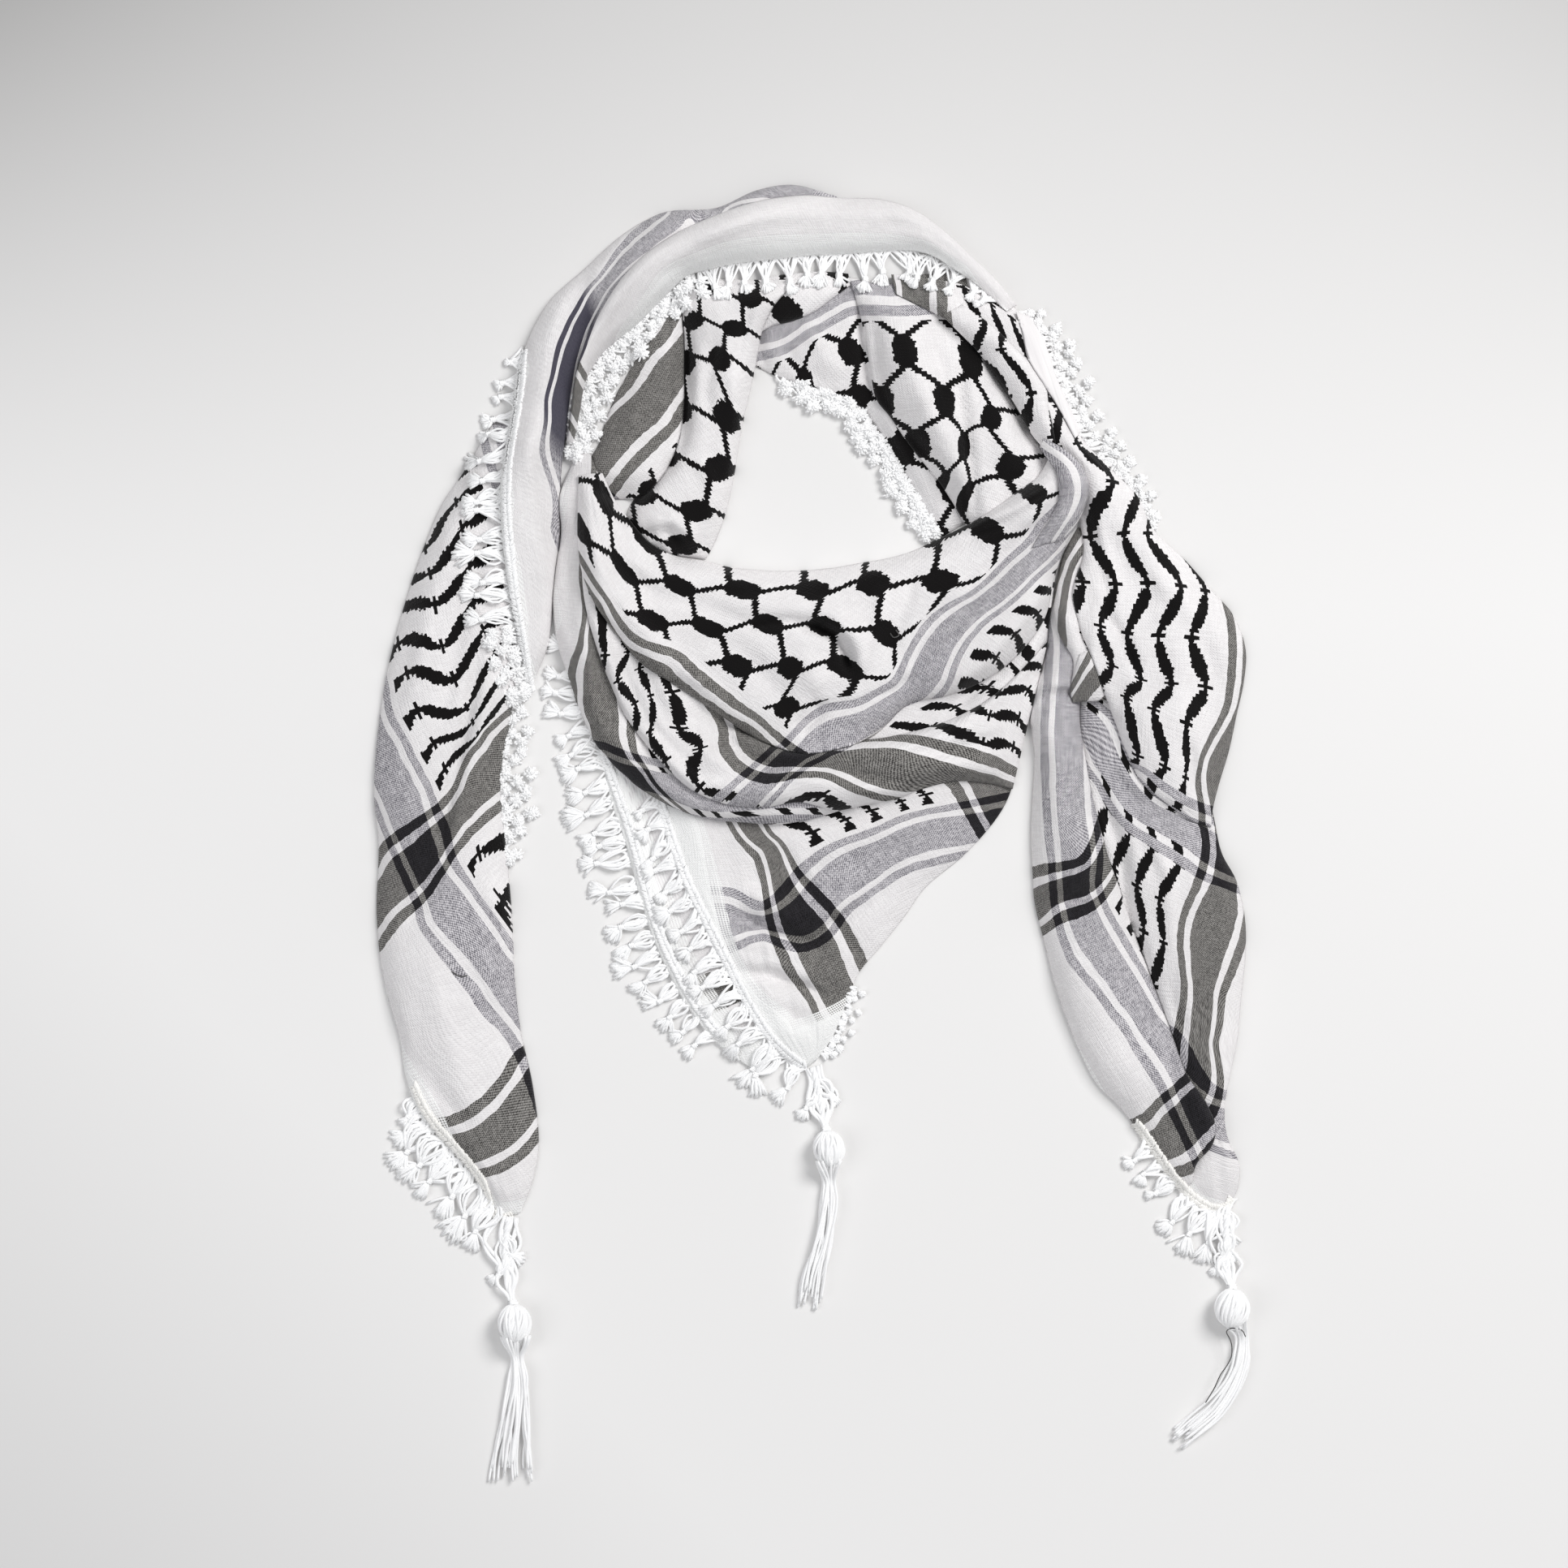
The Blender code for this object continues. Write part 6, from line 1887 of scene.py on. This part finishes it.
def lay_fringe(name):
    """A run of fringe along its hem."""
    sections = FRINGE[name]
    units = max(3, round(length_steps(np.array(sections, float)[:, 0:2]).sum() / UNIT))
    curve, _ = section_curves(sections, units * 2 + 1)
    bundle = Bundle()
    for left, middle, right in zip(curve[:-2:2], curve[1:-1:2], curve[2::2]):
        reach = middle[2:4] + (middle[2:4] - middle[0:2]) * rng.uniform(-0.2, 0.06)
        roots = [end[0:2] + (middle[0:2] - end[0:2]) * UNIT_INSET for end in (left, right)]
        if is_rubbed(name, middle):
            worn_unit(bundle, *roots, reach, FULLNESS.get(name, 1.0))
        else:
            fringe_unit(bundle, *roots, reach, PLUMP.get(name, 1.0))
    x, y, crown = plan(sections, FRINGE_CELL)
    lay_on_ground(x, y, ground_at(x, y) + np.minimum(crown, FRINGE_THICK))
    return bundle.object(name + "_strings")


print("one unit each", UNIT, "mm")

# %% [markdown]
# ## The hem
# The edge of the square is rolled and whipped before the fringe is tied: a firm ridged band. It is laid right
# after its own sheet, as two rows of stout stitches at the fringe's root, so it follows the cloth beneath.

# %% Hem tables
HEMMED = {"bib_under": "fringe_under", "bib": "fringe_bib",
          "left_tail": "fringe_tail_left", "left_roll": "fringe_roll"}
# The hem turns the corner at these tips, where no fringe is tied: sections again, as for the fringe.
TIPS = {
    "left_tail": [
        (-187, -212.5, -190, -217, 2), (-182.5, -218.5, -184.5, -223.5, 2), (-176, -222, -176.5, -227, 2),
        (-170, -220.5, -167.5, -225, 2),
    ],
    "tail_panel": [
        (211, -202, 207, -206, 2), (217, -208.5, 213.5, -213, 2), (224, -213.5, 221.5, -218, 2),
        (230, -216, 228.5, -221, 2), (235, -216.5, 235.5, -221.5, 2), (240, -214.5, 243, -218.5, 2),
        (243, -210, 247, -212, 2),
    ],
    "tail_blue": [
        (184, -166, 180, -170, 2), (189, -172, 185, -175.5, 2), (198.5, -186, 194, -190, 2),
        (206.5, -197.5, 202.5, -201.5, 2), (213, -205, 209, -209, 2),
    ],
}
print(len(HEMMED) + len(TIPS), "hems")

# %% Hem stitching
WHIP_STEP, HEM_STEP = 0.95, 0.8
# For each row: from where to where it goes out from the hem's line, and how far it leans along it.
ROWS = (((-4.6, -1.9), 1.5), ((-2.1, 0.8), -1.5))
STITCH_LIFT = np.array([0.1, 0.5, 0.5, 0.1])


def lay_hem(name, sections):
    """Two rows of slanting whip stitches that meet in a chevron at the root of the fringe."""
    curve, _ = section_curves(sections, max(16, round(size_of(sections)[0] / HEM_STEP)))
    way = curve[:, 2:4] - curve[:, 0:2]
    way = softened_rows(way / np.linalg.norm(way, axis=1, keepdims=True), 8)
    place = np.r_[0, np.cumsum(length_steps(curve[:, 0:2]))]
    bundle = Bundle()
    for spot in np.arange(WHIP_STEP, place[-1], WHIP_STEP):
        for ends, slant in ROWS:
            out = np.linspace(*ends, 4) + rng.uniform(-0.3, 0.3)
            along = spot + rng.normal(0, 0.2) + slant * np.linspace(-0.5, 0.5, 4)
            at = np.clip(np.searchsorted(place, along), 0, len(place) - 1)
            stitch = on_ground(curve[at, 0:2] + way[at] * out[:, None], STITCH_LIFT)
            bundle.tube(stitch, rng.uniform(0.6, 0.82))
    return bundle.object(name + "_hem")


print("stitches per centimetre in a row:", round(10 / WHIP_STEP))

# %% [markdown]
# ## Corner tassels
# At three corners the warp ends come together as a cord with looser strands beside it, pass over a round
# core as a gathered ball, are bound at its foot and hang as a long wavy skirt.

# %% Cord and loose strands
CORD_STRANDS, CORD_LAY, CORD_YARN, CORD_LIFT = 3, 14, 1.05, 2.6
LOOSE_STRANDS, WANDERING, GATHER_END, GATHER_LONG, GATHER_LEAST = 9, 0.3, 0.86, 0.3, 0.12
# Two small fringe units are left beside the cord: at a share of its length, leaning to a side.
SMALL_UNITS, SMALL_PLUMP = ((0.3, 1), (0.45, -1)), 1.2


def rings(turn, side, low=1.0):
    """Ways round a line that runs in plan, at each angle."""
    return np.outer(np.cos(turn), np.r_[side, 0]) + np.outer(np.sin(turn), (0, 0, low))


def tassel_cord(cord, line, place, side):
    """Three yarns twisted round the tassel's line."""
    for strand in range(CORD_STRANDS):
        turn = place / CORD_LAY * 2 * math.pi + strand * 2 * math.pi / CORD_STRANDS
        cord.tube(line + rings(turn, side) * CORD_YARN, CORD_YARN, 6)


def tassel_strands(loose, curve, middle, ahead, side):
    """Loose yarns that wander down to the ball and gather there."""
    count = len(curve)
    t = np.linspace(0, 1, count)
    gathered = np.clip((GATHER_END - t) / GATHER_LONG, GATHER_LEAST, 1.0)
    for strand in range(LOOSE_STRANDS):
        wander = WANDERING * np.sin(t * rng.uniform(5, 11) + rng.uniform(0, 6)) * np.sin(math.pi * t)
        share = 0.5 + ((strand + 0.5) / LOOSE_STRANDS - 0.5 + wander) * gathered * rng.uniform(0.9, 1.5)
        flat = curve[:, 0:2] + (curve[:, 2:4] - curve[:, 0:2]) * share[:, None]
        lift = 1.0 + 3.5 * t ** 2 + 1.6 * np.sin(t * 7 + strand * 2) ** 2
        loose.tube(on_ground(flat, lift), rng.uniform(0.8, 1.15), 6)
    for share, lean in SMALL_UNITS:
        spot = middle[int(count * share)]
        fringe_unit(loose, spot - ahead * 6, spot, spot + ahead * 9 + side * lean * 9, SMALL_PLUMP)


print("loose yarns at a tassel:", LOOSE_STRANDS)

# %% Ball and skirt
BALL_SIZE, BALL_LOW, BALL_STRANDS, BALL_TWIST = 0.46, 0.88, 44, 0.3
BOUND_SIZE = 2.3
SKIRT_STRANDS, SKIRT_YARN, SKIRT_HEIGHT, SKIRT_UNEVEN = 30, (0.85, 0.7), 0.75, 0.14


def tassel_ball(ball, middle, floor, wide, ahead, side):
    """A core, strands that run over it from pole to pole, slightly aslant, and a binding at each pole."""
    size = BALL_SIZE * wide
    centre = np.array([*middle, floor + size * BALL_LOW])
    pole = np.linspace(0.04, 0.96, 15) * math.pi
    axis = centre + np.outer(-np.cos(pole) * (size + 0.6), np.r_[ahead, 0])
    ball.tube(axis, np.maximum((size - 1.3) * np.sin(pole), 0.8) * 0.9, 16)
    for strand in range(BALL_STRANDS):
        turn = strand * 2 * math.pi / BALL_STRANDS + pole * rng.normal(BALL_TWIST, 0.22) + rng.normal(0, 0.05)
        around = (size - 1.2 + rng.uniform(-0.5, 0.5)) * np.sin(pole) + 0.5
        ball.tube(axis + rings(turn, side, BALL_LOW) * around[:, None], rng.uniform(0.75, 0.95), 6)
    for end in (-1, 1):
        bound = centre + np.r_[ahead, 0] * end * (size + 1.0)
        knot_of(ball, bound - (0, 0, size * 0.25), ahead, BOUND_SIZE)


def tassel_skirt(skirt, curve, side):
    """Wavy cut yarns below the ball, of uneven length."""
    rows = len(curve)
    for _ in range(SKIRT_STRANDS):
        share = rng.uniform(0.04, 0.96)
        part = curve[:rows - int(rng.uniform(0, rows * SKIRT_UNEVEN))]
        flat = part[:, 0:2] + (part[:, 2:4] - part[:, 0:2]) * share
        wave = np.sin(np.linspace(0, rng.uniform(5, 11), len(part)) + rng.uniform(0, 6))
        flat = flat + (wave * rng.uniform(0.5, 1.3))[:, None] * side
        lift = 0.8 + rng.uniform(0, 1) * part[:, 4] * SKIRT_HEIGHT
        skirt.tube(on_ground(flat, lift), np.linspace(*SKIRT_YARN, len(part)), 5)


print("yarns over a ball and in a skirt:", BALL_STRANDS, SKIRT_STRANDS)

# %% Lay a tassel
TASSEL_POINTS = 61


def lay_tassel(name):
    """The cord, the gathered ball, the skirt and the loose strands of one tassel."""
    curve, place = section_curves(TASSELS[name], TASSEL_POINTS)
    middle = middle_line(curve)
    floor = ground_at(middle[:, 0], middle[:, 1])
    line = np.c_[middle, floor + CORD_LIFT]
    ball_at = int(np.argmax(curve[:, 4]))
    down = slice(0, ball_at + 1)
    ahead, _ = toward(middle[ball_at - 4], middle[ball_at])
    side = sideways(ahead)
    cord, ball, skirt, loose = Bundle(), Bundle(), Bundle(), Bundle()
    tassel_cord(cord, line[down], place[down], side)
    tassel_strands(loose, curve[down], middle[down], ahead, side)
    wide = np.linalg.norm(curve[ball_at, 2:4] - curve[ball_at, 0:2])
    tassel_ball(ball, middle[ball_at], floor[ball_at], wide, ahead, side)
    tassel_skirt(skirt, curve[ball_at + 3:], side)
    parts = {"_cord": cord, "_ball": ball, "_skirt": skirt, "_strands": loose}
    return [bundle.object(name + end) for end, bundle in parts.items()], line[down]


print("tassels to lay:", len(TASSELS))

# %% [markdown]
# ## Stray threads
# Three dark thread ends of the embroidery lie loose on the piece.

# %% Stray threads
STRAYS = {
    "tassel_right": [
        (249, -288), (247, -283), (240.5, -282), (237, -284), (239.5, -287.5), (241, -291.5), (241, -298.5),
        (238, -304), (234.5, -308.5), (231, -316.5), (228, -321.5), (225.5, -325.5),
    ],
    "left_tail": [(-204.5, -78), (-201.5, -80.5), (-198, -81.5), (-195, -80.5)],
    "cowl_front": [(45.5, 114.5), (47.5, 111.5), (51, 113), (48.5, 116.5)],
}
STRAY_THICK, ON_TASSEL, ON_CLOTH = 0.34, 9.0, 0.4


def lay_stray(name):
    """A dark thread end lying loose on a piece."""
    corners = np.array(STRAYS[name], float)
    steps = np.r_[0, np.cumsum(length_steps(corners))]
    fine_steps = np.linspace(0, steps[-1], 4 * len(corners))
    flat = softened_rows(np.stack([np.interp(fine_steps, steps, values) for values in corners.T], 1), 1)
    bundle = Bundle()
    bundle.tube(on_ground(flat, ON_TASSEL if name in TASSELS else ON_CLOTH), STRAY_THICK, 5)
    return bundle.object(name + "_stray")


print("stray threads:", len(STRAYS))

# %% [markdown]
# ## Laying everything
# One pass through the order lays each piece on what is under it, with its hem and any stray thread. The CAD
# height printed beside the top of each piece shows that the shell stays near its solid.

# %% Lay everything in order
pieces = {}
tassel_lines = {}


def made_of(objects, material):
    """The same objects, with their material."""
    for obj in objects:
        obj.data.materials.append(material)
    return objects


for number, name in enumerate(ORDER):
    if name in CLOTH:
        pieces[name] = made_of([lay_cloth(name, 10 + 2 * number)], cotton)
        if name in HEMMED:
            fringe = HEMMED[name]
            pieces[fringe] += made_of([lay_hem(fringe, FRINGE[fringe])], cream if name in TIPS else yarn)
        if name in TIPS:
            pieces[name] += made_of([lay_hem(name + "_tip", TIPS[name])], cream)
    elif name in FRINGE:
        pieces[name] = made_of([lay_fringe(name)], yarn)
    else:
        made, tassel_lines[name] = lay_tassel(name)
        pieces[name] = made_of(made, yarn)
    if name in STRAYS:
        pieces[name] += made_of([lay_stray(name)], dark_thread)
    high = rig.box(SMALL_FOLDS.get(name, name))[1]
    top = max(v.co.z for v in pieces[name][0].data.vertices)
    print(f"{name:18s} faces {sum(len(p.data.polygons) for p in pieces[name]):6d}"
          f"  top {top / MM:5.1f} mm, CAD {high.z / MM:5.1f} mm")

# %% [markdown]
# ## Telling the frame what each piece is
# Everything is still, so all pieces ride on the one body. Each sheet states the cut of what shows, and each
# tassel's cord its length down to the bound ball.

CORD_DIAMETER = 0.006

for name, group in pieces.items():
    for piece in group:
        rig.ride(piece, "root")
        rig.replaces(piece, SMALL_FOLDS.get(name, name))
        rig.slot(piece, "woven_cotton" if name in CLOTH else "cotton_thread")
    if name in CLOTH:
        width, length, area = cuts[name]
        area = min(area, width * length)
        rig.sheet(group[0], flat=(width, length), held="folded", area=area)
        print(f"{name:18s} cut {width:.3f} x {length:.3f} m, {area:.4f} m2")
    elif name in TASSELS:
        line = (tassel_lines[name] - (*CENTRE, 0)) * MM
        long = float(length_steps(line).sum())
        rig.cord(group[0], exit=line[0], length=long, diameter=CORD_DIAMETER, far_end="knot",
                stiffness="limp", lay="loose", path=line.tolist(), with_pieces=[group[1]])
        print(f"{name:18s} cord {long:.3f} m")

# %% [markdown]
# ## Floor and light
# A pale smooth floor with painted shade that darkens it toward its far corners and at its near left corner, a bright
# even surround, and one big soft light from the upper right with a weak one opposite.

# %% Floor
FLOOR_REACH, FLOOR_GAP = 4.0, 0.0002
# The floor's own colour, and the colour of the shade painted on it.
NEAR_TONE, SHADED_FLOOR = colour(237, 236, 235), colour(160, 159, 158)

floor_material, start = new_material("pale_floor", colour(246, 247, 250))
floor_x, floor_y = start.node("ShaderNodeTexCoord", out="Object").parts()
# Painted shade on the floor: it is darkened toward the back, most at the far corners, and at the near left corner.
back_shade = ((floor_y - 0.12) / 0.42).limited() ** 1.4
near_corner_shade = ((-0.45 - floor_x - floor_y) / 0.5).limited()
painted_floor_shade = (back_shade * (floor_x * floor_x * 1.8 - floor_x * 0.34 + 0.5) + near_corner_shade * 0.35).limited()
finish_material(floor_material, start, base_color=mixed(painted_floor_shade, NEAR_TONE, SHADED_FLOOR), roughness=0.9)

corners = [(x * FLOOR_REACH, y * FLOOR_REACH, cad_low.z - FLOOR_GAP)
           for x, y in ((-1, -1), (1, -1), (1, 1), (-1, 1))]
floor_mesh = bpy.data.meshes.new("floor")
floor_mesh.from_pydata(corners, [], [(0, 1, 2, 3)])
floor = bpy.data.objects.new("floor", floor_mesh)
floor.data.materials.append(floor_material)
bpy.context.scene.collection.objects.link(floor)
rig.stage(floor)
print("floor is", 2 * FLOOR_REACH, "m wide")

# %% Light
COOL = (0.97, 0.98, 1.0)
WARM = (1.0, 0.995, 0.99)
SURROUND_STRENGTH = 0.41

surround = bpy.data.worlds.new("soft_surround")
surround.use_nodes = True
background = surround.node_tree.nodes["Background"]
background.inputs["Color"].default_value = (*COOL, 1.0)
background.inputs["Strength"].default_value = SURROUND_STRENGTH
bpy.context.scene.world = surround


def soft_light(name, place, size, power, tint):
    """A square soft light aimed at the middle of the scarf."""
    data = bpy.data.lights.new(name, "AREA")
    data.size, data.energy, data.color = size, power, tint
    lamp = bpy.data.objects.new(name, data)
    lamp.location = place
    aim = -np.array(place)
    lamp.rotation_euler = (math.acos(-aim[2] / np.linalg.norm(aim)), 0,
                           math.atan2(aim[1], aim[0]) - math.pi / 2)
    bpy.context.scene.collection.objects.link(lamp)


soft_light("key_light", (1.9, 1.6, 2.7), 1.55, 95.0, WARM)
soft_light("fill_light", (-1.6, -0.6, 1.8), 1.6, 13.0, COOL)
bpy.context.scene.view_settings.view_transform = "Standard"
print("lights placed")

# %% Measure and finish
bpy.context.view_layer.update()
low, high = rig.bounds()
sizes = {"cad": [list(cad_low), list(cad_high)], "visual": [list(low), list(high)]}
with open("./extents.json", "w") as out:
    json.dump(sizes, out)
print("visual box in mm:", [round(v / MM) for v in (*low, *high)])
